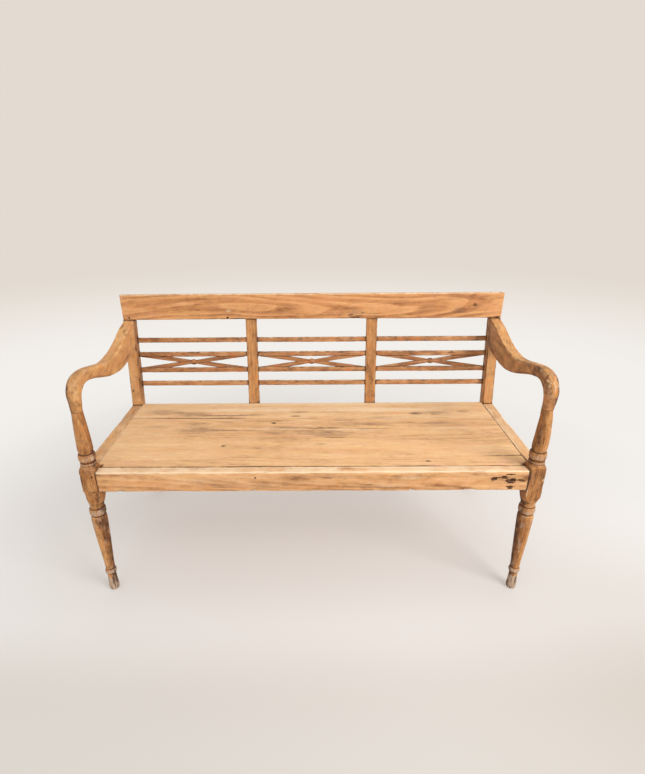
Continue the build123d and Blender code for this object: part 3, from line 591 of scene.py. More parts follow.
MATS["post"] = teak("teak_post", (220, 168, 112), (187, 133, 82), (112, 70, 40), ring=0.12, streak=0.34, large=0.54, spots=post_marks, rough=0.64, mottle=0.90,
                    warm=(190, 120, 70), pinkc=(200, 142, 106), yelc=(212, 160, 98), grime=0.45,
                    blotch=0.42, orangec=(206, 128, 60), duskc=(132, 96, 68))
MATS["arm"] = teak("teak_arm", (224, 174, 116), (191, 136, 82), (112, 72, 42), ring=0.14, streak=0.46, large=0.50, rough=0.60, mottle=0.66,
                   warm=(196, 126, 70), pinkc=(204, 148, 110), yelc=(216, 166, 100), grime=0.42,
                   blotch=0.50, orangec=(214, 138, 66), duskc=(132, 96, 70))
MATS["leg"] = teak("teak_leg", (214, 158, 100), (168, 112, 62), (84, 50, 30), ring=0.18, streak=0.50, large=0.62, spots=leg_marks, rough=0.68, mottle=0.95,
                   greyc=(178, 152, 130), warm=(180, 114, 64), pinkc=(184, 134, 104), yelc=(198, 146, 86), grime=0.60,
                   blotch=0.40, orangec=(196, 124, 66), duskc=(104, 72, 50))
MATS["slat"] = teak("teak_slat", (204, 152, 106), (164, 113, 72), (84, 50, 32), ring=0.16, streak=0.54, large=0.7, rough=0.66, mottle=1.00,
                    warm=(172, 104, 62), pinkc=(188, 134, 106), yelc=(196, 144, 92), grime=0.62,
                    blotch=0.60, orangec=(190, 112, 56), duskc=(112, 80, 60))
MATS["bearer"] = teak("teak_bearer", (206, 158, 110), (176, 126, 82), (120, 80, 50), ring=0.30, streak=0.6, large=0.4, rough=0.78, mottle=0.3)
MATS["peg"] = teak("teak_peg", (170, 120, 80), (138, 92, 60), (84, 52, 34), ring=0.2, streak=0.4, large=0.4, rough=0.7)

# ------------------------------------------------------------------ dimensions shared with the CAD
LEG_X, BLOCK = 681.0, 49.0
LEG_IN = LEG_X - BLOCK / 2
SIDE_OUT, SIDE_IN = 707.5, 669.5
SC0, SC1 = up(803.3), up(895.5)
STX, STW = 229.4, 41.0
SLATS = {"top": 724.0, "upper": 669.0, "lower": 608.0, "bottom": 554.8}
PANELS = {"left": (-669.5, -(STX + STW / 2)), "middle": (-(STX - STW / 2), STX - STW / 2), "right": (STX + STW / 2, 669.5)}


def rng(name):
    return np.random.default_rng(seed_of(name))


# ------------------------------------------------------------------ crest rail
def crest():
    s0, s1 = SC0, SC1
    mid, hh = (s0 + s1) / 2, (s1 - s0) / 2
    P0 = ORG + np.array([-717, 0, 0]) + mid * UP + 6.0 * BK
    P1 = P0 + np.array([1434, 0, 0])
    pt = strip("crest_rail_wood", P0, P1, BK, UP, 14.0, hh, 2.4, q=2, na=8, nb=28, step=3.6, R=1.8, var=0.55)
    # the ends lean out towards the top
    d = pt.co - ORG
    s = d @ UP
    k = (711.0 + (s - s0) / (s1 - s0) * 6.0) / 717.0
    pt.co[:, 0] *= k
    sk = Skin(pt, warp=0.7, wander=1.0, edge_wear=1.25)
    r = sk.rest; off = (r - ORG) @ BK; s = (r - ORG) @ UP
    # worn hollow and split at the lower edge over the right inner upright, small chips elsewhere
    sk.dent(on_back(160, s0 + 2), (34, 14, 10), 3.2, dirt=0.35, ragged=0.6)
    sk.dent(on_back(176, s0 + 1), (16, 8, 5), 3.0, dirt=0.5, ragged=0.6)
    sk.dent(on_back(-276, s0 + 1.5), (30, 8, 3.0), 2.2, dirt=0.6)
    sk.dent(on_back(110, s1), (90, 12, 4), 1.6, wear=0.3); sk.dent(on_back(-20, s1), (60, 12, 3.5), 1.8, dirt=0.3)
    sk.dent(on_back(430, s1), (50, 12, 3), 1.2, wear=0.3)
    sk.dent(on_back(700, s0), (16, 14, 8), 3.0, wear=0.3); sk.dent(on_back(-708, s1 - 10), (8, 14, 14), 1.5, wear=0.4)
    sk.grimy(0.30, 0.8)
    sk.dirt += 0.42 * np.exp(-np.maximum(s - s0, 0) / 2.2) * (0.6 + 0.5 * fbm(r / 25.0, 71, 2))
    top = sm(s1 - 9, s1 - 1, s)
    sk.wear += top * 0.30
    sk.dirt += 0.55 * np.exp(-np.abs(s - s0) / 2.5) * (np.abs(np.abs(r[:, 0]) - 688.5) < 24)
    sk.dirt += 0.4 * np.exp(-np.abs(s - s0) / 2.5) * (np.abs(np.abs(r[:, 0]) - STX) < 22)
    sk.dirt += 0.18 * (off > 18)                                     # the back is darker and less handled
    sk.apply()
    # flat-sawn: the growth rings' axis passes below and behind the face, with a slow tilt, which draws the arched figure
    g = grain(r, EX, BK, UP, on_back(-60, s0 + 46, 0), (62, 4), (0.035, -0.030), 3)
    g[:, 2] += 0.012 * np.sin(g[:, 0] * 5.0)
    build(sk, g, MATS["crest"], "crest_rail")


# ------------------------------------------------------------------ seat boards
BXH = 669.0


def board(name, node, fl, fr, rl, rr, nw, pith, tilt, notch=False):
    z = SEAT - 10.0

    def hw(t):
        k = t / (2 * BXH); a = fl + (fr - fl) * k; b = rl + (rr - rl) * k
        return (b - a) / 2, (a + b) / 2
    pt = strip(name, (-BXH, 0, z), (BXH, 0, z), EY, EZ, hw, 10.0, 1.1, q=2, na=nw, nb=4, step=3.8, R=1.2, var=0.6)
    if notch:  # the front board is cut round the leg blocks
        xx = np.abs(pt.co[:, 0]); lim = LEG_IN - 0.6
        k = sm(lim - 0.5, lim + 0.5, xx) * (pt.co[:, 1] < 25.1)
        pt.co[:, 1] = pt.co[:, 1] * (1 - k) + np.maximum(pt.co[:, 1], 25.1 + (pt.co[:, 1] - 10.1) * 0.04) * k
    sk = Skin(pt, warp=0.55, wander=0.35, edge_wear=0.9)
    r = sk.rest
    topf = sk.n[:, 2] > 0.3
    kk = (r[:, 0] + BXH) / (2 * BXH); ya = fl + (fr - fl) * kk; yb = rl + (rr - rl) * kk
    dy = np.minimum(r[:, 1] - ya, yb - r[:, 1]); dx = BXH - np.abs(r[:, 0])
    # gentle wear hollows where people sit, a raised grain and darker seams
    for cx in (-440, 0, 440):
        sk.disp -= 0.5 * topf * np.exp(-((r[:, 0] - cx) / 170) ** 2 - ((r[:, 1] - 180) / 150) ** 2)
    sk.disp += 0.16 * topf * fbm(np.stack([r[:, 0] / 90, r[:, 1] / 5.0, r[:, 2] / 5.0], 1), pt.seed + 31, 2)
    sk.dirt += np.where(r[:, 0] > 0, 0.62, 0.22) * np.exp(-dx / 3.0) * topf
    seam = fbm(np.stack([r[:, 0] / 60, r[:, 1] * 0 + fl, r[:, 2] * 0], 1), 77, 2)
    sk.wear *= 0.35 + 0.3 * (seam > 0)
    late = 0.15 + 0.85 * sm(400, 600, r[:, 0])               # the front joint only opens towards the right
    fa, fb = (late if "main" in node else 1.0), (late if "front" in node else 1.0)
    sk.dirt += np.clip(0.30 + 0.7 * seam, 0, 1) * (fa * np.exp(-(r[:, 1] - ya) / 2.2) + fb * np.exp(-(yb - r[:, 1]) / 2.2)) * topf
    return sk, ya, yb, topf


def seat():
    # main board
    sk, ya, yb, topf = board("seat_board_main_wood", "seat_board_main", 51.5 + .6, 72.5 + .6, 353.0, 345.0, 74, (0, 0), (0, 0))
    r = sk.rest
    seam = np.exp(-(r[:, 1] - ya) / 3.0) * topf
    sk.dirt += 0.75 * seam * sm(470, 640, r[:, 0]) + 0.8 * np.exp(-(yb - r[:, 1]) / 4.0) * topf * sm(-180, -330, r[:, 0]) * sm(-660, -560, r[:, 0])
    # long season checks beside the heart
    for (x0, x1, y0, dep) in ((-200, -370, 256, 1.4), (-60, 130, 270, 1.6), (-185, -108, 198, 1.2), (44, 112, 200, 0.9)):
        cx, hx = (x0 + x1) / 2, abs(x1 - x0) / 2
        sk.dent((cx, y0 + 0, SEAT), (hx, 6.0, 14), dep, dirt=0.22, ragged=0.5, face=(0, 0, 1))
    sk.dent((640, 190, SEAT), (60, 80, 14), 0.0, tone=-0.05)
    sk.tone += topf * (0.05 * fbm(r / 130.0, 91, 2))
    # the front half is warmer and lighter, the strip near the heart is greyer
    sk.tone += topf * (0.05 * sm(200, 90, r[:, 1]) + 0.05 * sm(-250, -420, r[:, 0]) - 0.03 * np.exp(-((r[:, 1] - 262) / 55) ** 2) * sm(-520, -380, r[:, 0]) * sm(330, 200, r[:, 0]))
    sk.wear += topf * 0.12 * sm(190, 250, r[:, 1])
    sk.grey += topf * 0.10 * np.exp(-((r[:, 1] - 262) / 45) ** 2) * sm(-480, -380, r[:, 0]) * sm(330, 150, r[:, 0])
    # painted shade: downward faces darkened
    sk.tone -= 0.10 * (sk.n[:, 2] < -0.3)
    sk.apply()
    g = grain(r, EX, EY, EZ, (0, 268, SEAT), (0, 96), (0.030, 0.016), 1)
    g[:, 1] += 0.014 * np.sin(g[:, 0] * 3.1)
    build(sk, g, MATS["seat"], "seat_board_main")
    # rear board
    sk, ya, yb, topf = board("seat_board_rear_wood", "seat_board_rear", 353.6, 345.6, 485.8, 485.8, 34, (0, 0), (0, 0))
    r = sk.rest
    sk.dirt += 0.8 * np.exp(-(r[:, 1] - ya) / 3.5) * topf * sm(-180, -330, r[:, 0]) * sm(-660, -560, r[:, 0])
    for sx in (-1, 1):   # painted shadow round the feet of the inner uprights
        sk.dirt += 0.6 * topf * np.exp(-(np.maximum(np.abs(r[:, 0] - sx * STX) - STW / 2, 0) / 3.0)) * np.exp(-np.maximum(484 - r[:, 1], 0) / 4.0)
    sk.tone += topf * 0.16
    sk.wear += 0.35 * topf * np.exp(-(yb - r[:, 1]) / 5.0) + topf * 0.20
    # painted shade: downward faces darkened
    sk.tone -= 0.10 * (sk.n[:, 2] < -0.3)
    sk.apply()
    g = grain(r, EX, EY, EZ, (100, 400, SEAT), (18, 64), (-0.022, 0.012), 2)
    build(sk, g, MATS["seat"], "seat_board_rear")
    # front strip
    sk, ya, yb, topf = board("seat_board_front_wood", "seat_board_front", 10.1, 10.1, 51.5, 72.5, 12, (0, 0), (0, 0), notch=True)
    r = sk.rest
    sk.dirt += 0.8 * np.exp(-(r[:, 1] - ya) / 2.6) * topf
    sk.dirt += 0.75 * np.exp(-(yb - r[:, 1]) / 3.0) * topf * sm(470, 640, r[:, 0])
    sk.dent((366, 40, SEAT), (12, 6, 8), 1.2, dirt=0.3, face=(0, 0, 1))
    # open corners beside the leg blocks, carved out and darkened with painted shade
    for sx, k in ((-1, 1.0), (1, 0.8)):
        sk.dent((sx * 656, 16, SEAT), (18 if sx > 0 else 10, 22, 12), 4.0 * k, dirt=0.8 * k, ragged=0.5)
    sk.tone += topf * 0.03
    sk.apply()
    g = grain(r, EX, EY, EZ, (0, 30, SEAT), (40, 90), (0.02, 0.01), 5)
    build(sk, g, MATS["seat"], "seat_board_front")


# ------------------------------------------------------------------ seat frame rails
def rails():
    # front rail, with the rebate that carries the boards
    cy, hy = (-22.5 + 19.5) / 2, 21.0
    zc, hz = (407.5 + 475.5) / 2, 34.0

    def rebate(sec, t):
        u, v = sec[..., 0], sec[..., 1]
        f = sm(455.0 - zc, 456.4 - zc, v)
        hi = hy - 10.4 * f
        un = -hy + (u + hy) * (hi + hy) / (2 * hy)
        return np.stack([un, v], -1)
    pt = strip("front_rail_wood", (-LEG_IN, cy, zc), (LEG_IN, cy, zc), EY, EZ, hy, hz, 2.6, q=2, na=9, nb=26, step=3.6, R=1.0, var=0.6,
               fine=((1188.0, 1304.0, 1.7),), remap=rebate)
    sk = Skin(pt, warp=0.7, wander=0.8, edge_wear=1.7)
    r = sk.rest; x, y, z = r.T
    front = sk.n[:, 1] < -0.3; topf = sk.n[:, 2] > 0.3
    sk.disp += 0.15 * (front | topf) * fbm(np.stack([x / 80, y / 5, z / 5], 1), 41, 2)
    # splintered gouges at the right end
    for c, rr, dp, dk in (((553, F0, 449), (14, 9, 6), 3.4, .9), ((581, F0, 453), (18, 9, 6.5), 4.2, .8), ((601, F0, 463), (15, 9, 3.2), 2.4, .7),
                          ((612, F0, 442), (15, 9, 8), 6.0, 1.0), ((603, F0, 418.5), (13, 9, 4.6), 4.6, 1.0), ((634, F0, 443), (12, 9, 3.8), 2.6, .7),
                          ((590, F0, 444), (46, 9, 12), 0.9, .15)):
        sk.dent(c, rr, dp, dirt=dk, ragged=0.75, face=(0, -1, 0))
    for c, rr, dp, dk in (((306, F0 + 2, 408), (13, 12, 6.5), 4.2, .4), ((478, F0 + 1, 408), (24, 10, 4.5), 2.6, .15), ((-178, F0 + 1, 408), (12, 10, 5), 3.0, .8),
                          ((-590, F0 + 1, 409), (16, 10, 4), 2.2, .7), ((-420, F0 + 1, 407.5), (60, 10, 3.0), 1.3, .0), ((60, F0 + 1, 407.5), (90, 10, 3.0), 1.4, .0),
                          ((520, F0, 474), (60, 10, 4), 1.6, .0), ((-560, F0, 474), (40, 10, 4), 1.8, .0), ((-140, F0, 474.5), (70, 9, 3.5), 1.4, .0),
                          ((250, F0, 474.5), (50, 9, 3.5), 1.6, .05)):
        sk.dent(c, rr, dp, dirt=dk, wear=0.25, ragged=0.55)
    sk.dirt += 0.42 * front * np.exp(-np.maximum(z - 407.5, 0) / 2.2) * (0.6 + 0.5 * fbm(r / 25.0, 49, 2))
    sk.wear += topf * (0.56 + 0.30 * fbm(r / 55.0, 43, 3)) + front * 0.55 * sm(466, 474.5, z) * (0.7 + 0.6 * fbm(r / 30.0, 44, 2))
    sk.tone += front * 0.06 + front * 0.20 * fbm(np.stack([x / 110, y / 30, z / 16], 1), 45, 3)
    sk.dirt += 0.7 * np.exp(-(9.5 - y) / 2.0) * topf * (0.4 + 0.6 * sm(-0.2, 0.4, fbm(r / 50.0, 46, 2)))
    sk.dirt += 0.7 * np.exp(-(LEG_IN - np.abs(x)) / 2.6)
    sk.wear += front * 0.3 * sm(412, 408, z)
    sk.apply()
    g = grain(r, EX, EY, EZ, (80, F0, 441), (58, -18), (-0.016, 0.030), 7)
    build(sk, g, MATS["rail"], "front_rail")

    # side rails
    xc, hx = (659.5 + SIDE_OUT) / 2, (SIDE_OUT - 659.5) / 2

    def rebate2(sec, t):
        u, v = sec[..., 0], sec[..., 1]
        f = sm(455.0 - zc, 456.4 - zc, v)
        lo = -hx + 10.3 * f
        return np.stack([hx - (hx - u) * (hx - lo) / (2 * hx), v], -1)
    for side, sx in (("right", 1), ("left", -1)):
        pt = strip(side + "_side_rail_wood", (xc, 469.0, zc), (xc, 24.5, zc), EX, EZ, hx, hz, 2.4, q=2, na=11, nb=18, step=3.8, R=1.0, var=0.6, remap=rebate2)
        if sx < 0: pt.mirror()
        sk = Skin(pt, warp=0.6, wander=0.6, edge_wear=1.4)
        r = sk.rest; x, y, z = r.T; topf = sk.n[:, 2] > 0.3
        sk.wear += topf * (0.10 + 0.25 * fbm(r / 40.0, pt.seed, 2))
        sk.grimy(0.35, 0.8)
        sk.tone += topf * (0.42 if sx > 0 else 0.26 + 0.16 * fbm(r / 26.0, 52, 2))
        sk.grey += topf * (0.05 if sx > 0 else 0.34 + 0.30 * fbm(r / 22.0, 51, 2))
        sk.wear += topf * (0.30 if sx > 0 else 0.14)
        sk.dirt += (0.7 if sx > 0 else 0.2) * np.exp(-np.abs(np.abs(x) - SIDE_IN) / 2.0) * topf + 0.55 * np.exp(-(y - 24.5) / 5) + 0.7 * np.exp(-(469 - y) / 3.0)
        sk.dirt += 0.35 * topf * sm(90, 30, y)
        sk.dent((sx * 690, 200, 407), (20, 40, 5), 1.6, wear=0.2); sk.dent((sx * 706, 330, 474), (6, 50, 5), 1.5, wear=0.3)
        sk.apply()
        g = grain(r, EY, EX, EZ, (sx * 688, 200, 440), (-30 * sx, 46), (0.02, 0.02), pt.seed)
        build(sk, g, MATS["post"], side + "_side_rail")

    # rear rail
    pt = strip("rear_rail_wood", (-669.5, 488.5, 431.5), (669.5, 488.5, 431.5), EY, EZ, 17.5, 24.0, 2.2, q=2, na=7, nb=9, step=5.0, R=1.0, var=0.6)
    sk = Skin(pt, warp=0.7, wander=0.8, edge_wear=1.4)
    r = sk.rest
    sk.tone -= 0.05; sk.dirt += 0.6 * np.exp(-(669.5 - np.abs(r[:, 0])) / 3.0) + 0.45 * np.exp(-(455.5 - r[:, 2]) / 2.5)
    sk.apply()
    build(sk, grain(r, EX, EY, EZ, (0, 488, 430), (-44, 10), (0.02, 0.01), 11), MATS["post"], "rear_rail")

    # bearers under the seat
    for side, sx in (("right", 1), ("left", -1)):
        pt = strip(side + "_seat_bearer_wood", (250, 471, 440.5), (250, 19.5, 440.5), EX, EZ, 21.0, 15.0, 1.8, q=2, na=9, nb=6, step=5.0, R=0.8, var=0.5)
        if sx < 0: pt.mirror()
        sk = Skin(pt, warp=0.5, wander=0.5, edge_wear=1.0)
        r = sk.rest
        for y in (36.0, 130.0, 280.0, 420.0):
            sk.dirt += 0.4 * np.exp(-(np.hypot(r[:, 0] - sx * 250, r[:, 1] - y) / 8.0) ** 2) * (sk.n[:, 2] < -0.3)
        sk.dirt += 0.5 * np.exp(-(455.5 - r[:, 2]) / 2.0)
        sk.apply()
        build(sk, grain(r, EY, EX, EZ, (sx * 250, 250, 440), (30, 40), (0.01, 0.02), pt.seed), MATS["bearer"], side + "_seat_bearer")


# ------------------------------------------------------------------ back posts with the rear legs
def herm(xk, yk, x, m0=None, m1=None):
    """cubic Hermite through knots with finite-difference slopes"""
    xk, yk = np.array(xk, float), np.array(yk, float)
    m = np.gradient(yk, xk)
    if m0 is not None: m[0] = m0
    if m1 is not None: m[-1] = m1
    i = np.clip(np.searchsorted(xk, x) - 1, 0, len(xk) - 2)
    h = xk[i + 1] - xk[i]; t = (x - xk[i]) / h
    return (2 * t ** 3 - 3 * t ** 2 + 1) * yk[i] + (t ** 3 - 2 * t ** 2 + t) * h * m[i] + (-2 * t ** 3 + 3 * t ** 2) * yk[i + 1] + (t ** 3 - t ** 2) * h * m[i + 1]


def posts():
    zk = [0, 104, 214, 316, 400]
    topF = ORG + SC0 * UP - 20.0 * BK; topR = ORG + SC0 * UP + 20.0 * BK
    for side, sx in (("right", 1), ("left", -1)):
        zl = np.concatenate([2.0 * (1 - np.cos(np.linspace(0, math.pi / 2, 4))), np.linspace(2, SEAT, 128)[1:]])
        F = np.stack([zl * 0, np.where(zl < 400, herm(zk, [597, 536, 494, 474, 469], np.minimum(zl, 400), -0.60, 0), 469.0), zl], 1)
        Rr = np.stack([zl * 0, np.where(zl < 400, herm(zk, [632, 574, 534, 514, 509], np.minimum(zl, 400), -0.56, 0), 509.0), zl], 1)
        k = np.linspace(0, 1, 90)[1:, None]
        F = np.vstack([F, F[-1] * (1 - k) + topF * k]); Rr = np.vstack([Rr, Rr[-1] * (1 - k) + topR * k])
        C = (F + Rr) / 2; C[:, 0] = (669.5 + SIDE_OUT) / 2
        V = Rr - F; hh = np.linalg.norm(V, axis=1) / 2; V = V / (2 * hh[:, None])
        along = np.concatenate([[0], np.cumsum(np.linalg.norm(np.diff(C, axis=0), axis=1))])
        hw = np.full(len(C), 19.0)
        inset = np.where(zl < 2.0, 2.0 - np.sqrt(np.maximum(4 - (2 - np.minimum(zl, 2)) ** 2, 0)), 0)
        inset = np.concatenate([inset, np.zeros(len(C) - len(inset))])
        pt = Part(side + "_back_post_wood")
        rad = corner_r(along, 2.6, 0.6, pt.seed)
        sec = rrect(hw - inset, hh - inset, rad, 2, 9, 9)
        U = np.broadcast_to(EX, C.shape)
        pt.loft(place(sec, C, U, V), 13, 13, along)
        if sx < 0: pt.mirror()
        sk = Skin(pt, warp=0.7, wander=0.9, edge_wear=1.5)
        r = sk.rest; x, y, z = r.T
        sk.shift[:, 2] *= sm(0, 60, z)
        s = (r - ORG) @ UP
        sk.dirt += 0.45 * np.exp(-np.maximum(SC0 - s, 0) / 3.5)                      # under the crest
        sk.grimy(0.85, 0.40)
        sk.tone += 0.06 * (sx > 0) * (sk.n[:, 1] < -0.3)
        sk.grey += (0.32 if sx > 0 else 0.05) * (0.6 + 0.8 * fbm(r / 26.0, pt.seed + 27, 2))
        inner = (sk.n[:, 0] * sx) < -0.3
        for z0 in SLATS.values():                                                       # painted shade on the inner faces round the slats
            sk.dirt += 0.75 * inner * np.exp(-(np.maximum(np.abs(s - up(z0)) - 9, 0) / 2.6)) * np.exp(-(np.maximum(np.abs((r - ORG) @ BK - 10) - 6, 0) / 2.6))
        fr = sk.n[:, 1] < -0.3
        sk.dirt += 0.55 * fr * np.exp(-(np.maximum(np.abs(z - 441.5) - 34, 0) / 3.0)) * (z > 400) * (z < 485)
        sk.dirt += 0.42 * fr * np.exp(-np.abs(z - SEAT) / 3.2)
        if sx < 0:
            sk.dent((-699.6, 473, 534), (8, 8, 10), 3.2, dirt=0.35, ragged=0.6, face=(0, -1, 0))
        sk.dent((sx * 700, 500, 250), (10, 20, 40), 1.6, wear=0.2); sk.dent((sx * 675, 590, 20), (8, 30, 16), 1.4, wear=0.3)
        sk.grey += 0.55 * sm(120, 0, z); sk.dirt += 0.35 * sm(26, 2, z)
        sk.tone += 0.10 * fr * sm(500, 620, z)
        # painted shade: the inner faces are darkened above the seat, with a mottled darkening on them
        sk.tone -= 0.20 * inner * sm(470, 500, z)
        sk.dirt += 0.30 * inner * sm(476, 500, z) * np.clip(0.60 + 0.9 * fbm(r / 24.0, pt.seed + 23, 2), 0, 1)
        sk.tone += fr * 0.10 * fbm(r / 30.0, pt.seed + 24, 2)
        sk.apply()
        build(sk, grain(r, UP, EX, BK, (sx * 688, 489, 475), (34 * sx, 46), (0.012, 0.020), pt.seed), MATS["post"], side + "_back_post")

    # inner uprights
    for side, sx in (("right", 1), ("left", -1)):
        z0 = SEAT - 20.0
        s0 = up(z0)
        P0 = ORG + np.array([STX * sx, 0, 0]) + s0 * UP + 10 * BK
        P1 = ORG + np.array([STX * sx, 0, 0]) + SC0 * UP + 10 * BK
        pt = strip(side + "_mid_stile_wood", P0, P1, EX, BK, STW / 2, 10.0, 2.2, q=2, na=11, nb=5, step=3.6, R=0.8, var=0.6)
        # the foot is cut level, on the rear rail
        t = (pt.co - P0) @ UP
        lift = ((pt.co - P0) @ BK) * math.tan(RAKE) * sm(24, 0, t)
        pt.co += lift[:, None] * UP
        sk = Skin(pt, warp=0.6, wander=0.7, edge_wear=1.4)
        r = sk.rest; s = (r - ORG) @ UP
        sk.grimy(0.90, 0.40)
        side_f = np.abs(sk.n[:, 0]) > 0.3
        for zz in SLATS.values():
            sk.dirt += 0.75 * side_f * np.exp(-(np.maximum(np.abs(s - up(zz)) - 9, 0) / 2.6)) * np.exp(-(np.maximum(np.abs((r - ORG) @ BK - 10) - 6, 0) / 2.6))
        sk.dirt += 0.40 * np.exp(-np.maximum(SC0 - s, 0) / 3.0) + 0.34 * np.exp(-np.abs(s - 1) / 4.0)
        fr = sk.n[:, 1] < -0.3
        sk.wear += fr * 0.10
        sk.tone += fr * (-0.03 + 0.12 * fbm(r / 50.0, pt.seed + 9, 2))
        sk.dent(P0 + 40 * UP + np.array([10 * sx, 0, 0]) - 10 * BK, (6, 6, 22), 1.2, dirt=0.3, face=(0, -1, 0))
        sk.apply()
        build(sk, grain(r, UP, EX, BK, P0, (22 * sx, 40), (0.02, 0.015), pt.seed), MATS["post"], side + "_mid_stile")


# ------------------------------------------------------------------ slats, braces, beads
def back_panels():
    for pn, (x0, x1) in PANELS.items():
        for sn, z in SLATS.items():
            s = up(z)
            P0 = ORG + np.array([x0 - 1.0, 0, 0]) + s * UP + 10 * BK
            P1 = ORG + np.array([x1 + 1.0, 0, 0]) + s * UP + 10 * BK
            nm = pn + "_slat_" + sn
            rr = rng(nm)
            pt = strip(nm + "_wood", P0, P1, BK, UP, 6.0, 9.0, 2.0, q=2, na=3, nb=5, step=4.6, R=0.6, var=0.7)
            sk = Skin(pt, warp=0.5, wander=0.5, edge_wear=1.5)
            r = sk.rest
            dx = np.minimum(r[:, 0] - x0, x1 - r[:, 0])
            sk.shift *= sm(0, 60, dx)[:, None]
            sag = -0.9 * rr.random() * np.sin(np.pi * np.clip((r[:, 0] - x0) / (x1 - x0), 0, 1))
            sk.shift += sag[:, None] * UP
            sk.dirt += 0.70 * np.exp(-np.maximum(dx, 0) / 4.0)
            for q in range(2):
                xc = x0 + (x1 - x0) * rr.random()
                sk.dent(P0 + np.array([xc - x0, 0, 0]) - 6 * BK + 9 * UP, (14 + 20 * rr.random(), 5, 4), 1.2, wear=0.3)
            topf = sk.n @ UP > 0.4
            sk.grimy(0.80, 0.50)
            sk.tone += {"bottom": 0.18, "lower": 0.10}.get(sn, 0.04) + 0.22 * fbm(r / 26.0, pt.seed + 8, 3)
            # worn tops; painted light and shade: tops lightened and undersides darkened
            sk.wear += 0.22 * topf; sk.tone += 0.08 * topf - 0.10 * (sk.n @ UP < -0.4) + 0.05 * (rr.random() - 0.5)
            sk.apply()
            build(sk, grain(r, EX, BK, UP, P0, (20 + 40 * rr.random(), 30 * (rr.random() - 0.5)), (0.01, 0.02 * (rr.random() - 0.5)), pt.seed),
                  MATS["slat"], nm)
        for nm, vox, it in ((pn + "_brace_falling", 1.7, 3), (pn + "_brace_rising", 1.7, 3), (pn + "_bead_front", 0.9, 2), (pn + "_bead_rear", 0.9, 2)):
            from_cad(nm, vox, it, "bead" in nm, (x0 + x1) / 2)


def from_cad(node, vox, it, bead, xc):
    """a rounded, worn copy of a CAD node: voxel remesh, relaxed, with its own grain"""
    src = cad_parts[node]
    tmp = bpy.data.objects.new("tmp_" + node, src.data.copy())
    bpy.context.scene.collection.objects.link(tmp)
    md = tmp.modifiers.new("r", "REMESH"); md.mode = "VOXEL"; md.voxel_size = vox / 1000.0; md.adaptivity = 0.0
    sd = tmp.modifiers.new("s", "SMOOTH"); sd.iterations = it; sd.factor = 0.5
    dg = bpy.context.evaluated_depsgraph_get(); dg.update()
    me = bpy.data.meshes.new_from_object(tmp.evaluated_get(dg))
    bpy.data.objects.remove(tmp)
    n = len(me.vertices)
    co = np.zeros(n * 3, np.float32); me.vertices.foreach_get("co", co); co = co.reshape(-1, 3).astype(float) * 1000 + np.array([0, YC, 0])
    no = np.zeros(n * 3, np.float32); me.vertex_normals.foreach_get("vector", no); no = no.reshape(-1, 3).astype(float)
    sdn = seed_of(node)
    d = 0.25 * fbm(co / 26.0, sdn, 2) + 0.25 * fbm(co / 8.0, sdn + 1, 2) - (0.15 if not bead else 0.0)
    s = (co - ORG) @ UP; off = (co - ORG) @ BK
    s_mid = (up(SLATS["upper"]) + up(SLATS["lower"])) / 2
    dz = 21.6 - np.abs(s - s_mid); dx = np.abs(co[:, 0] - xc)
    co2 = co + no * d[:, None]
    dirt = np.zeros(n); wear = np.zeros(n); tone = np.zeros(n) - 0.02
    if bead:
        wear += 0.06 * (no @ BK < -0.2) + 0.10 * (no @ UP > 0.4)
        # painted shade: downward faces of the beads darkened
        dirt += 0.25 * np.exp(-np.maximum(14 - dx, 0) / 1.6) + 0.3 * (no @ UP < -0.5)
        tone -= 0.06
    else:
        dirt += 0.30 * np.exp(-np.maximum(dx - 14.5, 0) / 2.5) + 0.7 * np.exp(-np.maximum(dz, 0) / 2.2) + 0.45 * np.exp(-np.abs(209 - dx) / 8.0)
        wear += 0.2 * (no @ UP > 0.5)
        tone += 0.05 * fbm(co / 60, sdn + 4, 2)
    me.vertices.foreach_set("co", ((co2 - np.array([0, YC, 0])) / 1000.0).astype(np.float32).ravel())
    me.update()
    me.polygons.foreach_set("use_smooth", np.ones(len(me.polygons), bool))
    me.materials.clear()
    for a in list(me.attributes):
        if a.name not in ("position", ".edge_verts", ".corner_vert", ".corner_edge", "sharp_face", "material_index") and not a.is_required:
            try: me.attributes.remove(a)
            except RuntimeError: pass
    me.name = node + "_wood"
    ax = EX if bead else (EX + UP * (-0.1 if "falling" in node else 0.1)); ax = ax / np.linalg.norm(ax)
    g = grain(co, ax, BK, np.cross(ax, BK), (xc, 520, 640), (26 + sdn % 17, 12), (0.01, 0.01), sdn)
    finish_mesh(me, node + "_wood", g, wear, dirt, tone, np.zeros(n), MATS["slat"], node)


# ------------------------------------------------------------------ arms
def cr_interp(K, n):
    """Catmull-Rom through the rows of K, n samples, spaced by the length of the first four columns"""
    K = np.array(K, float); m = len(K)
    P = np.vstack([2 * K[0] - K[1], K, 2 * K[-1] - K[-2]])
    out = []
    dens = 24
    for i in range(1, m):
        p0, p1, p2, p3 = P[i - 1], P[i], P[i + 1], P[i + 2]
        t = np.linspace(0, 1, dens, endpoint=False)[:, None]
        out.append(0.5 * (2 * p1 + (p2 - p0) * t + (2 * p0 - 5 * p1 + 4 * p2 - p3) * t ** 2 + (3 * p1 - p0 - 3 * p2 + p3) * t ** 3))
    out = np.vstack(out + [K[-1:]])
    c = (out[:, 0:2] + out[:, 2:4]) / 2
    L = np.concatenate([[0], np.cumsum(np.maximum(np.linalg.norm(np.diff(out[:, 0:2], axis=0), axis=1), np.linalg.norm(np.diff(c, axis=0), axis=1)))])
    w = np.linspace(0, L[-1], n)
    return np.stack([np.interp(w, L, out[:, k]) for k in range(K.shape[1])], 1), w


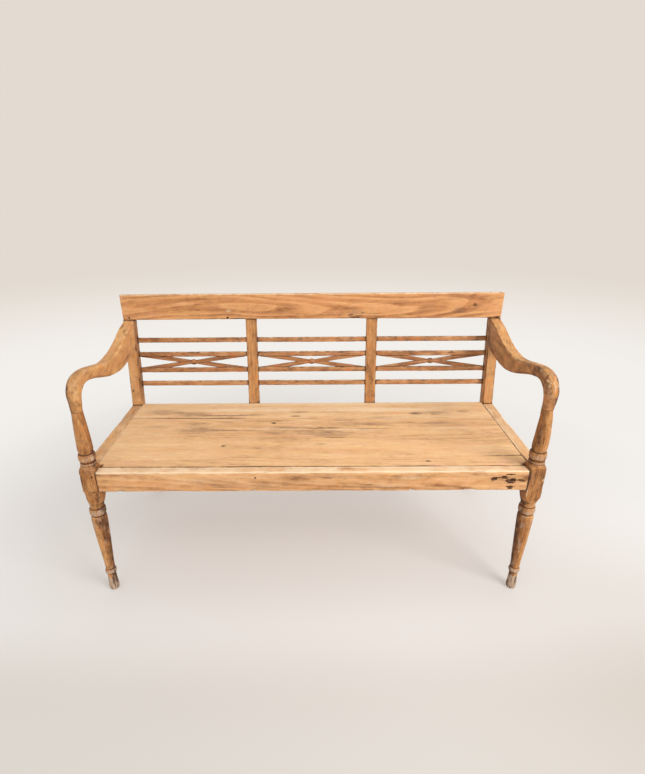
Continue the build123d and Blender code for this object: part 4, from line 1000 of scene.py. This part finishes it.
def arms():
    def apt(s):
        v = ORG + s * UP + 20.0 * BK
        v = ORG + s * UP - 20.0 * BK
        return v[1], v[2]
    y0, z0 = apt(up(706.0)); y1, z1 = apt(up(801.0))
    ST = [(y1, z1, y0, z0, 686.5, 38.0, 3.0), (452, 789, 456, 692, 686.5, 38.0, 3.5), (388, 765, 390, 680.5, 686.5, 38.0, 4.0),
          (330, 748, 322, 677, 686.5, 38.0, 5.0), (270, 742, 257, 687, 686.7, 38.0, 7.0), (215, 746, 200, 704, 687.0, 38.0, 9.5),
          (152, 760, 141, 723, 687.4, 38.4, 12.5), (98, 771, 94, 733, 687.6, 39.0, 15.0), (52, 774, 61, 734, 687.6, 39.5, 17.0),
          (13, 761, 38, 723, 687.0, 39.5, 17.5), (-12, 734, 24, 707, 685.4, 38.0, 17.5), (-17.6, 702, 17.8, 692, 683.0, 35.0, 16.2),
          (-16, 672, 16, 672, 681.0, 32.0, 15.2)]
    for side, sx in (("right", 1), ("left", -1)):
        K, w = cr_interp(ST, 190)
        top = np.stack([K[:, 4], K[:, 0], K[:, 1]], 1); bot = np.stack([K[:, 4], K[:, 2], K[:, 3]], 1)
        C = (top + bot) / 2; V = top - bot; h = np.linalg.norm(V, axis=1); V = V / h[:, None]
        hw = K[:, 5] / 2; hh = h / 2
        pt = Part(side + "_arm_wood")
        rad = np.minimum(K[:, 6:7] * (1 + 0.18 * (corner_r(w, 1.0, 0.8, pt.seed, 0.2) - 1)), (np.minimum(hw, hh) - 0.5)[:, None])
        sec = rrect(hw, hh, rad, 5, 5, 12)
        along = w
        pt.loft(place(sec, C, np.broadcast_to(EX, C.shape), V), 15, 22, along, lam=4.0)
        pt.edge *= np.concatenate([np.repeat(sm(6, 14, w) * sm(w[-1] - 6, w[-1] - 16, w) * (1 - 0.6 * sm(6, 15, K[:, 6])), 74), np.zeros(len(pt.co) - 74 * len(w))])
        if sx < 0: pt.mirror()
        sk = Skin(pt, warp=0.8, wander=0.9, edge_wear=1.5)
        r = sk.rest; x, y, z = r.T
        sk.shift *= (sm(0, 50, 469 - y) * sm(672, 700, z))[:, None]
        sk.disp *= sm(672, 680, z)
        topf = sk.n[:, 2] > 0.35; inner = (sk.n[:, 0] * sx) < -0.4; outer = (sk.n[:, 0] * sx) > 0.4
        s = (r - ORG) @ UP; offp = (r - ORG) @ BK
        sk.dirt += 0.75 * np.exp(-np.maximum(-20 - offp, 0) / 3.5)                       # at the post
        sk.dirt += 0.55 * np.exp(-np.abs(z - 672) / 2.2)                                # at the leg
        knuckle = sm(120, 10, y) * sm(690, 722, z)
        handled = sm(420, 120, y)
        sk.grimy(0.55, 0.55)
        if sx < 0:
            sk.shift[:, 0] += 2.6 * sm(130, 40, y) * sm(672, 700, z)
            sk.shift[:, 2] -= 3.4 * sm(10, 70, y) * sm(300, 210, y)
        sk.tone += 0.24 * fbm(r / 24.0, pt.seed + 21, 3)
        osm = sm(0.05, 0.85, sk.n[:, 0] * sx)
        # painted shade: the outer side is darkened towards the front, with a mottled darkening on the knuckle
        sk.dirt += 0.62 * osm * knuckle * np.clip(0.55 + fbm(r / 12.0, pt.seed + 22, 2), 0, 1)
        sk.tone -= 0.22 * osm * sm(260, 40, y)
        mt = fbm(np.stack([x / 7.0, y / 12.0, z / 12.0], 1), pt.seed + 25, 3)
        sk.dirt += (0.48 if sx > 0 else 0.34) * sm(0.10, 0.45, mt) * sm(200, 60, y); sk.wear += (0.34 if sx > 0 else 0.16) * sm(0.12, 0.45, -mt) * sm(200, 60, y)
        sk.grey += 0.34 * knuckle * (sk.n[:, 1] < 0.3) * (0.6 + 1.2 * fbm(r / 14.0, pt.seed + 3, 2)) + 0.14 * sm(60, 0, y) * sm(730, 690, z)
        sk.wear += 0.14 * topf * handled + 0.04 * knuckle
        sk.tone -= 0.10 * sm(70, 0, y) * sm(768, 730, z)
        # painted light and shade: on the left arm the top and inner face are lightened; on the right arm the top is
        # lightened a little and the inner face and front are darkened
        if sx < 0:
            sk.tone += 0.16 * topf * sm(60, 160, y) + 0.08 * inner + 0.0
        else:
            sk.tone += 0.04 * topf - 0.17 * inner - 0.08 * sm(200, 60, y)
            sk.dirt += 0.16 * inner * sm(60, 160, y)
        # painted shade: downward faces darkened
        sk.tone -= 0.12 * (sk.n[:, 2] < -0.4)
        sk.dent((sx * 700, 40, 774), (8, 26, 6), 1.2, wear=0.3); sk.dent((sx * 676, -8, 735), (7, 8, 14), 1.4, wear=0.08, dirt=0.1)
        sk.dent((sx * 686, 300, 744), (20, 30, 4), 0.8, wear=0.2)
        sk.apply()
        build(sk, grain(r, np.array([0, 0.98, 0.2]), EX, np.array([0, -0.2, 0.98]), (sx * 687, 240, 720), (26 * sx, -52), (0.012, 0.03), pt.seed),
              MATS["arm"], side + "_arm")


# ------------------------------------------------------------------ turned front legs
def catmull(pts, n):
    out = []; P = [pts[0]] + list(pts) + [pts[-1]]
    for i in range(1, len(P) - 2):
        p0, p1, p2, p3 = P[i - 1], P[i], P[i + 1], P[i + 2]
        for j in range(n):
            t = j / n
            out.append(tuple(0.5 * (2 * p1[a] + (p2[a] - p0[a]) * t + (2 * p0[a] - 5 * p1[a] + 4 * p2[a] - p3[a]) * t * t
                                    + (3 * p1[a] - p0[a] - 3 * p2[a] + p3[a]) * t ** 3) for a in (0, 1)))
    out.append(pts[-1])
    return out


def legs():
    RR = 25.25
    lower = [(12.5, 0), (14.6, 2.5), (15.9, 8), (16.1, 16), (15.2, 30), (14.2, 46), (13.8, 62), (14.2, 69)]
    collar = [(16.4, 71), (18.0, 75), (18.2, 79), (16.8, 84), (14.8, 87)]
    taper = [(14.6, 92), (15.6, 118), (18.0, 158), (20.4, 200), (22.3, 240), (23.8, 275), (24.4, 296), (23.2, 306)]
    ring2 = [(22.0, 309), (22.0, 313.5), (24.2, 315.5), (RR, 320), (RR, 331), (24.3, 336), (22.4, 338)]
    neck2 = [(21.6, 343), (22.3, 352), (24.3, 360)]
    neck1 = [(24.3, 489.0), (24.3, 493), (22.8, 496.5), (23.6, 499), (23.8, 502), (22.0, 504.5), (21.2, 506), (21.2, 509)]
    ring1 = [(24.0, 511), (RR, 515.5), (RR, 527), (24.2, 532), (21.6, 534.5)]
    balus = [(19.6, 536), (20.8, 540), (22.0, 546), (22.2, 553), (21.9, 566), (21.4, 580), (20.5, 600), (19.1, 625), (17.5, 648), (16.3, 665)]
    prof = catmull(lower, 4) + collar + catmull(taper, 4) + ring2 + catmull(neck2, 3)[:-1] + [(24.3, 360), (24.3, 488)] + neck1 + ring1 + catmull(balus, 4) + [(16.0, 672)]
    pr = np.array(prof)
    zs = [0.0]
    z = 0.0
    while z < 672 - 1e-6:
        fine = z < 10 or 64 < z < 92 or 304 < z < 392 or 472 < z < 545
        z = min(672.0, z + (1.15 if fine else 2.9)); zs.append(z)
    zs = np.array(zs)
    rad0 = np.interp(zs, pr[:, 1], pr[:, 0])
    # the lathe leaves no sharp arris: a light smoothing of the profile
    k = np.array([1, 2, 1]) / 4.0
    rs = np.convolve(np.pad(rad0, 1, mode="edge"), k, "valid"); rs[0] = rad0[0]
    env = np.interp(zs, [358, 362, 369, 377, 388, 477, 483, 487.5, 489], [24.3, 25.4, 28.0, 31.5, 36, 36, 31.5, 27.5, 24.3])
    inb = (zs >= 358) & (zs <= 489)
    N = 72
    th = np.radians(225) + np.arange(N) / N * 2 * np.pi
    hb = BLOCK / 2
    sq = np.minimum(hb / np.maximum(np.abs(np.cos(th)), 1e-6), hb / np.maximum(np.abs(np.sin(th)), 1e-6))
    sq = np.minimum(sq, hb * math.sqrt(2) - 1.6)
    for side, sx in (("right", 1), ("left", -1)):
        R = np.where(inb[:, None], np.minimum(sq[None, :], np.maximum(env, 24.3)[:, None]), rs[:, None])
        sec = np.stack([R * np.cos(th), R * np.sin(th)], -1)
        C = np.stack([zs * 0 + LEG_X, zs * 0, zs], 1)
        U = np.broadcast_to(EX, C.shape); V = np.broadcast_to(EY, C.shape)
        pt = Part(side + "_front_leg_wood")
        pt.loft(place(sec, C, U, V), N // 4, N // 4, zs, lam=3.0)
        if sx < 0: pt.mirror()
        sk = Skin(pt, warp=0.55, wander=0.5, edge_wear=1.3)
        r = sk.rest; x, y, z = r.T
        blockz = (z > 366) & (z < 486)
        # only the square block has arrises
        sk.wear = sk.wear * blockz * 0.50; e = pt.edge * blockz
        sk.disp = 0.45 * fbm(r / 70.0, pt.seed + 2, 2) + 0.22 * fbm(r / 9.0, pt.seed + 3, 2) - 2.6 * np.maximum(0, fbm(r / 9.0, pt.seed + 4, 2) - 0.05) * e ** 1.3
        sk.shift *= (sm(0, 40, z) * sm(672, 640, z))[:, None]
        sk.disp *= sm(-1, 3, z) * sm(672, 664, z)
        rho = np.hypot(np.abs(x) - LEG_X, y)
        rings = np.exp(-((z - 521) / 9.5) ** 2) + np.exp(-((z - 325) / 10) ** 2) + 0.8 * np.exp(-((z - 79) / 6) ** 2)
        bead = np.exp(-((z - 500) / 4.0) ** 2)
        sk.grey += rings * (0.50 + 0.5 * fbm(r / 10.0, pt.seed + 6, 2)) + 0.55 * bead + 0.55 * np.exp(-((z - 79) / 7.0) ** 2) + 0.95 * sm(68, 40, z) + 0.25 * sm(500, 490, z) * sm(470, 490, z)
        foot = sm(68, 50, z)
        crk = sm(0.05, 0.42, fbm(np.stack([x / 3.6, y / 3.6, z / 42], 1), pt.seed + 14, 2))
        sk.wear += 0.22 * rings + 0.30 * np.exp(-((z - 79) / 7.0) ** 2) + 0.12 * bead + foot * (0.60 + 0.5 * fbm(r / 9.0, pt.seed + 16, 2))
        sk.dirt += foot * crk * 0.75
        sk.shift[:, 0] += (-3.4 * sm(376, 318, z)) if sx < 0 else (2.0 * sm(530, 590, z) * sm(672, 640, z))
        for zg, wd, kk in ((508.5, 2.2, .95), (535.5, 2.0, .9), (505, 1.8, .5), (311.5, 2.4, .95), (339.5, 2.4, .8), (89.5, 2.5, .6), (70, 2.2, .8), (497, 2.0, .6), (359, 3.0, .4)):
            sk.dirt += kk * np.exp(-((z - zg) / wd) ** 2)
        sk.dirt += 0.35 * sm(6, 0, z)
        # the rails meet the block
        inner = (sk.n[:, 0] * sx) < -0.6
        sk.dirt += 0.7 * inner * blockz * np.exp(-np.maximum(np.abs(z - 441.5) - 33, 0) / 3.0) * (y < 12)
        back = sk.n[:, 1] > 0.6
        sk.dirt += 0.5 * back * blockz * np.exp(-np.maximum(np.abs(z - 441.5) - 33, 0) / 3.0)
        # flaked and scarred patches
        sk.dirt += 0.45 * e * np.clip(0.5 + 0.9 * fbm(r / 16.0, pt.seed + 17, 2), 0, 1)
        sk.tone -= 0.10 * sm(312, 296, z) - 0.05 * foot
        # painted shade down the left- and right-facing sides of the turned parts, mottled
        sk.dirt += 0.58 * (1 - 0.5 * sm(530, 560, z)) * sm(0.60, 0.95, np.abs(sk.n[:, 0])) * (1 - blockz) * np.clip(0.45 + 0.9 * fbm(r / 18.0, pt.seed + 18, 2), 0, 1)
        if sx < 0:
            sk.dent((-706, -20, 378), (11, 16, 34), 4.2, ragged=0.3)
            sk.dent((-680, -22, 288), (8, 8, 16), 1.6, dirt=0.5, ragged=0.7); sk.dent((-672, -17, 60), (3, 9, 26), 1.6, dirt=0.6, ragged=0.5)
            sk.dent((-699, -24, 462), (8, 6, 14), 1.6, wear=0.3, ragged=0.7); sk.dent((-664, -24, 396), (6, 6, 12), 1.4, dirt=0.4, ragged=0.7)
        else:
            sk.dent((698, -24, 446), (9, 7, 10), 2.0, wear=0.34, ragged=0.8); sk.dent((701, -24, 424), (8, 7, 8), 1.8, dirt=0.4, ragged=0.8)
            sk.dent((664, -24, 404), (7, 6, 14), 1.5, wear=0.25, ragged=0.7); sk.dent((690, -20, 250), (6, 7, 22), 1.0, wear=0.3, ragged=0.6)
        upper = sm(530, 560, z)
        sk.tone += (0.30 - 0.16 * upper) * fbm(np.stack([x / 18, y / 18, z / 46], 1), pt.seed + 8, 3)
        # painted light and shade: inner sides darker and outer sides lighter on the lower leg, the right leg a little
        # darker from the block up, with a mottled painted shade low on the inner side
        inn = sm(0.2, -0.7, sk.n[:, 0] * sx)
        low = sm(372, 356, z)
        sk.tone -= (-0.04 * low + 0.04 + (0.14 + 0.10 * low) * inn) if sx > 0 else (0.0 + (0.10 + 0.22 * low) * inn)
        outn = sm(0.0, 0.6, sk.n[:, 0] * sx) * sm(-0.1, -0.7, sk.n[:, 1])
        sk.tone += 0.22 * low * outn * (1 - foot)
        sk.dirt += 0.34 * inn * low * np.clip(0.5 + fbm(r / 20.0, pt.seed + 28, 2), 0, 1)
        # painted light: front faces of the turned parts lightened
        sk.tone += 0.16 * sm(-0.3, -0.9, sk.n[:, 1]) * (1 - blockz)
        fl = sm(0.16, 0.5, fbm(np.stack([x / 5.5, y / 5.5, z / 26], 1), pt.seed + 12, 3)) * sm(-0.1, 0.3, fbm(r / 40.0, pt.seed + 13, 2))
        sk.wear += (0.40 + 0.22 * low) * fl * (1 - foot)
        sk.grey += 0.55 * low * sm(0.0, 0.45, fbm(np.stack([x / 9, y / 9, z / 30], 1), pt.seed + 41, 3)) * (1 - foot)
        sk.dirt += 0.45 * sm(0.16, 0.5, fbm(np.stack([x / 5.0, y / 5.0, z / 34], 1), pt.seed + 19, 3)) * sm(-0.2, 0.3, fbm(r / 40.0, pt.seed + 20, 2)) * (1 - foot) * (1 - 0.55 * upper)
        sk.apply()
        build(sk, grain(r, EZ, EX, EY, (sx * LEG_X, 0, 300), (16 * sx, 30), (0.01, 0.012), pt.seed), MATS["leg"], side + "_front_leg")


# ------------------------------------------------------------------ pegs and screws
def disc_rod(pt, o, w, r, L, dome=0.5, N=24, seed=0):
    """a slightly uneven round peg from o along w, with a domed first end"""
    w = np.array(w, float); w /= np.linalg.norm(w)
    u = np.cross(w, EZ if abs(w[2]) < 0.9 else EX); u /= np.linalg.norm(u); v = np.cross(w, u)
    t = np.array([0, .25, .6, 1.2, 3.0, 8.0, L * 0.5, L - 1.2, L - .4, L])
    k = np.array([.80, .92, .98, 1, 1, 1, 1, .96, .9, .84])
    th = np.radians(225) + np.arange(N) / N * 2 * np.pi
    Rr = r * k[:, None] * (1 + 0.035 * vnoise(np.stack([np.cos(th) * 1.3 + seed, np.sin(th) * 1.3, th * 0], 1), 5))[None]
    sec = np.stack([Rr * np.cos(th), Rr * np.sin(th)], -1)
    C = np.array(o, float) + t[:, None] * w
    pt.loft(place(sec, C, np.broadcast_to(u, C.shape), np.broadcast_to(v, C.shape)), N // 4, N // 4, t, lam=1.0, end_lam=1.0)


def pegs():
    groups = {
        "crest_pegs": [(on_back(sx * 688.75, SC0 + 10, -8.5), BK, 22.0) for sx in (-1, 1)],
        "front_rail_pegs": [((sx * (LEG_IN + 13), -24.5 - 0.35, z), EY, 30.0) for sx in (-1, 1) for z in (459.0, 425.0)],
        "side_rail_pegs": [((sx * (SIDE_OUT + 0.35), y, z), -sx * EX, 28.0) for sx in (-1, 1) for y in (14.0, 479.0) for z in (452.0, 430.0)],
    }
    for node, lst in groups.items():
        pt = Part(node + "_wood")
        for i, (o, w, L) in enumerate(lst):
            if node == "side_rail_pegs":
                o = (o[0] if o[1] > 100 else math.copysign(LEG_X + BLOCK / 2 + 0.35, o[0]), o[1], o[2])
            disc_rod(pt, o, w, 3.5, L, seed=i * 3.3)
        sk = Skin(pt, warp=0.05, wander=0.05, edge_wear=0.12)
        sk.shift *= 0
        sk.wear *= 0.4; sk.dirt += 0.35 * (pt.edge > 0.25)
        sk.apply()
        w0 = lst[0][1]
        a1 = EZ; a2 = np.cross(w0, a1)
        build(sk, grain(sk.rest, w0, a1, a2, lst[0][0], (9, 5), (0.0, 0.0), pt.seed), MATS["peg"], node)
    # slotted countersunk screws in the bearers
    pt = Part("bearer_screws_steel")
    for i, (sx, y) in enumerate([(sx, y) for sx in (-1, 1) for y in (36.0, 130.0, 280.0, 420.0)]):
        o = np.array([sx * 250.0, y, 425.5]); N = 40
        ang = (i * 0.9) % math.pi
        th = np.radians(225) + ang + np.arange(N) / N * 2 * np.pi
        prof = [(4.0, 0.12), (4.2, 0.3), (2.1, 3.3)] + [(1.7 if k % 2 else 2.05, 4 + 1.1 * k) for k in range(30)] + [(0.7, 39.6)]
        # head face with a slot: rings from the centre out
        rr = np.array([p[0] for p in prof]); tt = np.array([p[1] for p in prof])
        sec = np.stack([rr[:, None] * np.cos(th), rr[:, None] * np.sin(th)], -1)
        C = o + tt[:, None] * EZ
        # viewed along +Z: U x V = +Z
        n_before = len(pt.co)
        pt.loft(place(sec, C, np.broadcast_to(EX, C.shape), np.broadcast_to(EY, C.shape)), N // 4, N // 4, tt, lam=1.0, end_lam=1.0)
        q = pt.co[n_before:]
        d = q - o
        across = -d[:, 0] * math.sin(ang) + d[:, 1] * math.cos(ang)
        slot = (np.abs(across) < 0.75) & (d[:, 2] < 0.35) & (np.hypot(d[:, 0], d[:, 1]) < 4.05)
        q[:, 2] += 0.9 * slot
        pt.co[n_before:] = q
    sk = Skin(pt, warp=0.0, wander=0.0, edge_wear=0.0); sk.shift *= 0; sk.disp *= 0
    sk.wear *= 0; sk.apply()
    g = G("screw_steel")
    O = g.obj()
    n1 = g.noise(O, (900, 900, 900), 4, 0.6); n2 = g.noise(O, (240, 240, 240), 3, 0.6)
    rust = g.smooth(n2 + (n1 - 0.5) * 0.5, 0.42, 0.66)
    col = g.mix(rust, lin(120, 116, 110), lin(112, 66, 40))
    g.L.new(col.k, g.bsdf.inputs["Base Color"])
    g.L.new((1.0 - rust * 0.85).k, g.bsdf.inputs["Metallic"])
    g.L.new((rust * 0.35 + n1 * 0.2 + 0.35).k, g.bsdf.inputs["Roughness"])
    b = g.N.new("ShaderNodeBump"); b.inputs["Strength"].default_value = 0.6; b.inputs["Distance"].default_value = 0.0004
    g.L.new(n1.k, b.inputs["Height"]); g.L.new(b.outputs[0], g.bsdf.inputs["Normal"])
    build(sk, sk.rest / 1000.0, g.mat, "bearer_screws")


crest(); seat(); rails(); posts(); back_panels(); arms(); legs(); pegs()

# ------------------------------------------------------------------ camera
W, H = 645.0, 774.0
CAM = dict(f=489.30, pitch=24.056, roll=-0.484, yaw=-0.4475, c=(0.0080, -1.2812 - YC / 1000.0, 1.2762), u0=310.54, v0=400.0)
cam_data = bpy.data.cameras.new("cam")
cam = bpy.data.objects.new("cam", cam_data)
bpy.context.scene.collection.objects.link(cam)
bpy.context.scene.camera = cam
yaw, pitch, roll = (math.radians(CAM[k]) for k in ("yaw", "pitch", "roll"))
F = Vector((math.sin(yaw), math.cos(yaw), 0)); R = Vector((math.cos(yaw), -math.sin(yaw), 0)); U = Vector((0, 0, 1))
fwd = math.cos(pitch) * F - math.sin(pitch) * U
down = -math.sin(pitch) * F - math.cos(pitch) * U
right = math.cos(roll) * R - math.sin(roll) * down
down2 = math.sin(roll) * R + math.cos(roll) * down
m = Matrix.Identity(4)
for i in range(3):
    m[i][0] = right[i]; m[i][1] = -down2[i]; m[i][2] = -fwd[i]; m[i][3] = CAM["c"][i]
cam.matrix_world = m
cam_data.sensor_width = 36.0
cam_data.sensor_fit = "AUTO"
cam_data.lens = CAM["f"] / H * 36.0
cam_data.shift_x = (W / 2 - CAM["u0"]) / H
cam_data.shift_y = (CAM["v0"] - H / 2) / H
cam_data.clip_end = 200.0

# ------------------------------------------------------------------ stage: a pale floor that fades into the backdrop with distance; it glows, and carries painted shade in front of and to the right of the bench
SKY = lin(227, 218, 209)
fg = G("studio_floor")
O = fg.obj()
ox, oy, oz = fg.sep(O)
dist = fg.math("SQRT", ox * ox + oy * oy)
var = fg.noise(O, (1.4, 1.4, 1.4), 3, 0.5)
base = fg.mix(fg.smooth(dist, 0.9, 2.4), lin(231, 228, 226), lin(240, 239, 236))
base = fg.mix((var - 0.5) * 0.10 + 0.05, base, lin(216, 210, 204))
# painted shade: the floor is darkened in front of the bench
front = fg.smooth(oy, -0.42, -0.74) * fg.smooth(dist, 2.2, 1.3)
base = fg.mix(front, base, fg.mix(1.0, base, (0.86, 0.84, 0.81), "MULTIPLY"))
# painted shade: the floor is darkened to the right of the bench
side = fg.smooth(ox, 0.22, 1.15) * fg.smooth(oy, 0.10, -0.60) * fg.smooth(oy, -0.95, -0.50, 0.80, 1.0) * fg.smooth(dist, 2.6, 1.4)
base = fg.mix(side, base, fg.mix(1.0, base, (0.85, 0.82, 0.79), "MULTIPLY"))
fg.L.new(base.k, fg.bsdf.inputs["Base Color"])
fg.L.new(((var - 0.5) * 0.1 + 0.86).k, fg.bsdf.inputs["Roughness"])
fg.bsdf.inputs["Specular IOR Level"].default_value = 0.15
# painted light: the floor glows with this colour, a brighter band round the bench fading into the backdrop
glow = fg.ramp(dist * 0.1, [(0.05, lin(226, 218, 210)), (0.105, lin(230, 224, 216)), (0.18, lin(243, 240, 236)), (0.30, lin(243, 240, 235)),
                            (0.42, lin(238, 232, 226)), (0.56, lin(230, 223, 214)), (0.70, lin(227, 218, 209))])
em = fg.N.new("ShaderNodeEmission"); em.inputs[1].default_value = 1.0
# the same painted shade in front and to the right is multiplied into the glow
glow = fg.mix(front, glow, fg.mix(1.0, glow, (0.86, 0.84, 0.81), "MULTIPLY"))
glow = fg.mix(side, glow, fg.mix(1.0, glow, (0.87, 0.85, 0.83), "MULTIPLY"))
fg.L.new(glow.k, em.inputs[0])
mx = fg.N.new("ShaderNodeMixShader")
# painted light: near the bench the floor is 42 % glow, which lightens the shadows there
fg.L.new(fg.smooth(dist, 0.8, 2.3, 0.42, 1.0).k, mx.inputs[0]); fg.L.new(fg.bsdf.outputs[0], mx.inputs[1]); fg.L.new(em.outputs[0], mx.inputs[2])
fg.L.new(mx.outputs[0], fg.out.inputs[0])
n = 96
fme = bpy.data.meshes.new("floor")
radii = [0.0, 0.5, 1, 2, 3, 5, 9, 20, 80]
vs = [(0, 0, 0)] + [(rr * math.cos(2 * math.pi * i / n), rr * math.sin(2 * math.pi * i / n), 0) for rr in radii[1:] for i in range(n)]
fs = [(0, 1 + i, 1 + (i + 1) % n) for i in range(n)]
for k in range(len(radii) - 2):
    a, b = 1 + k * n, 1 + (k + 1) * n
    fs += [(a + i, b + i, b + (i + 1) % n, a + (i + 1) % n) for i in range(n)]
fme.from_pydata(vs, [], fs); fme.materials.append(fg.mat)
fl = bpy.data.objects.new("floor", fme); bpy.context.scene.collection.objects.link(fl); fl.location = (0, 0, -0.0004)

w = bpy.data.worlds.new("studio"); bpy.context.scene.world = w; w.use_nodes = True
wt = w.node_tree
bgn = wt.nodes["Background"]; bgn.inputs[0].default_value = (0.66, 0.66, 0.665, 1); bgn.inputs[1].default_value = 1.0
seen = wt.nodes.new("ShaderNodeBackground"); seen.inputs[0].default_value = (*SKY, 1)
lp = wt.nodes.new("ShaderNodeLightPath"); wm = wt.nodes.new("ShaderNodeMixShader")
wt.links.new(lp.outputs["Is Camera Ray"], wm.inputs[0]); wt.links.new(bgn.outputs[0], wm.inputs[1]); wt.links.new(seen.outputs[0], wm.inputs[2])
wt.links.new(wm.outputs[0], wt.nodes["World Output"].inputs[0])


def area(name, loc, aim, size, energy, color=(1, 1, 1)):
    d = bpy.data.lights.new(name, "AREA"); d.energy = energy; d.size = size; d.color = color
    o = bpy.data.objects.new(name, d); bpy.context.scene.collection.objects.link(o); o.location = loc
    o.rotation_euler = (Vector(aim) - Vector(loc)).to_track_quat("-Z", "Y").to_euler()
    return o


area("key", (2.3, -2.1, 2.5), (0, 0, 0.40), 1.7, 88, (1.0, 0.99, 0.975))
area("fill", (-1.6, -3.2, 1.5), (0, 0, 0.45), 2.4, 14, (0.98, 0.99, 1.0))
area("top", (0.2, 0.2, 3.6), (0, 0, 0.3), 2.6, 22)
bpy.context.scene.view_settings.view_transform = "Standard"
bpy.context.scene.view_settings.look = "None"
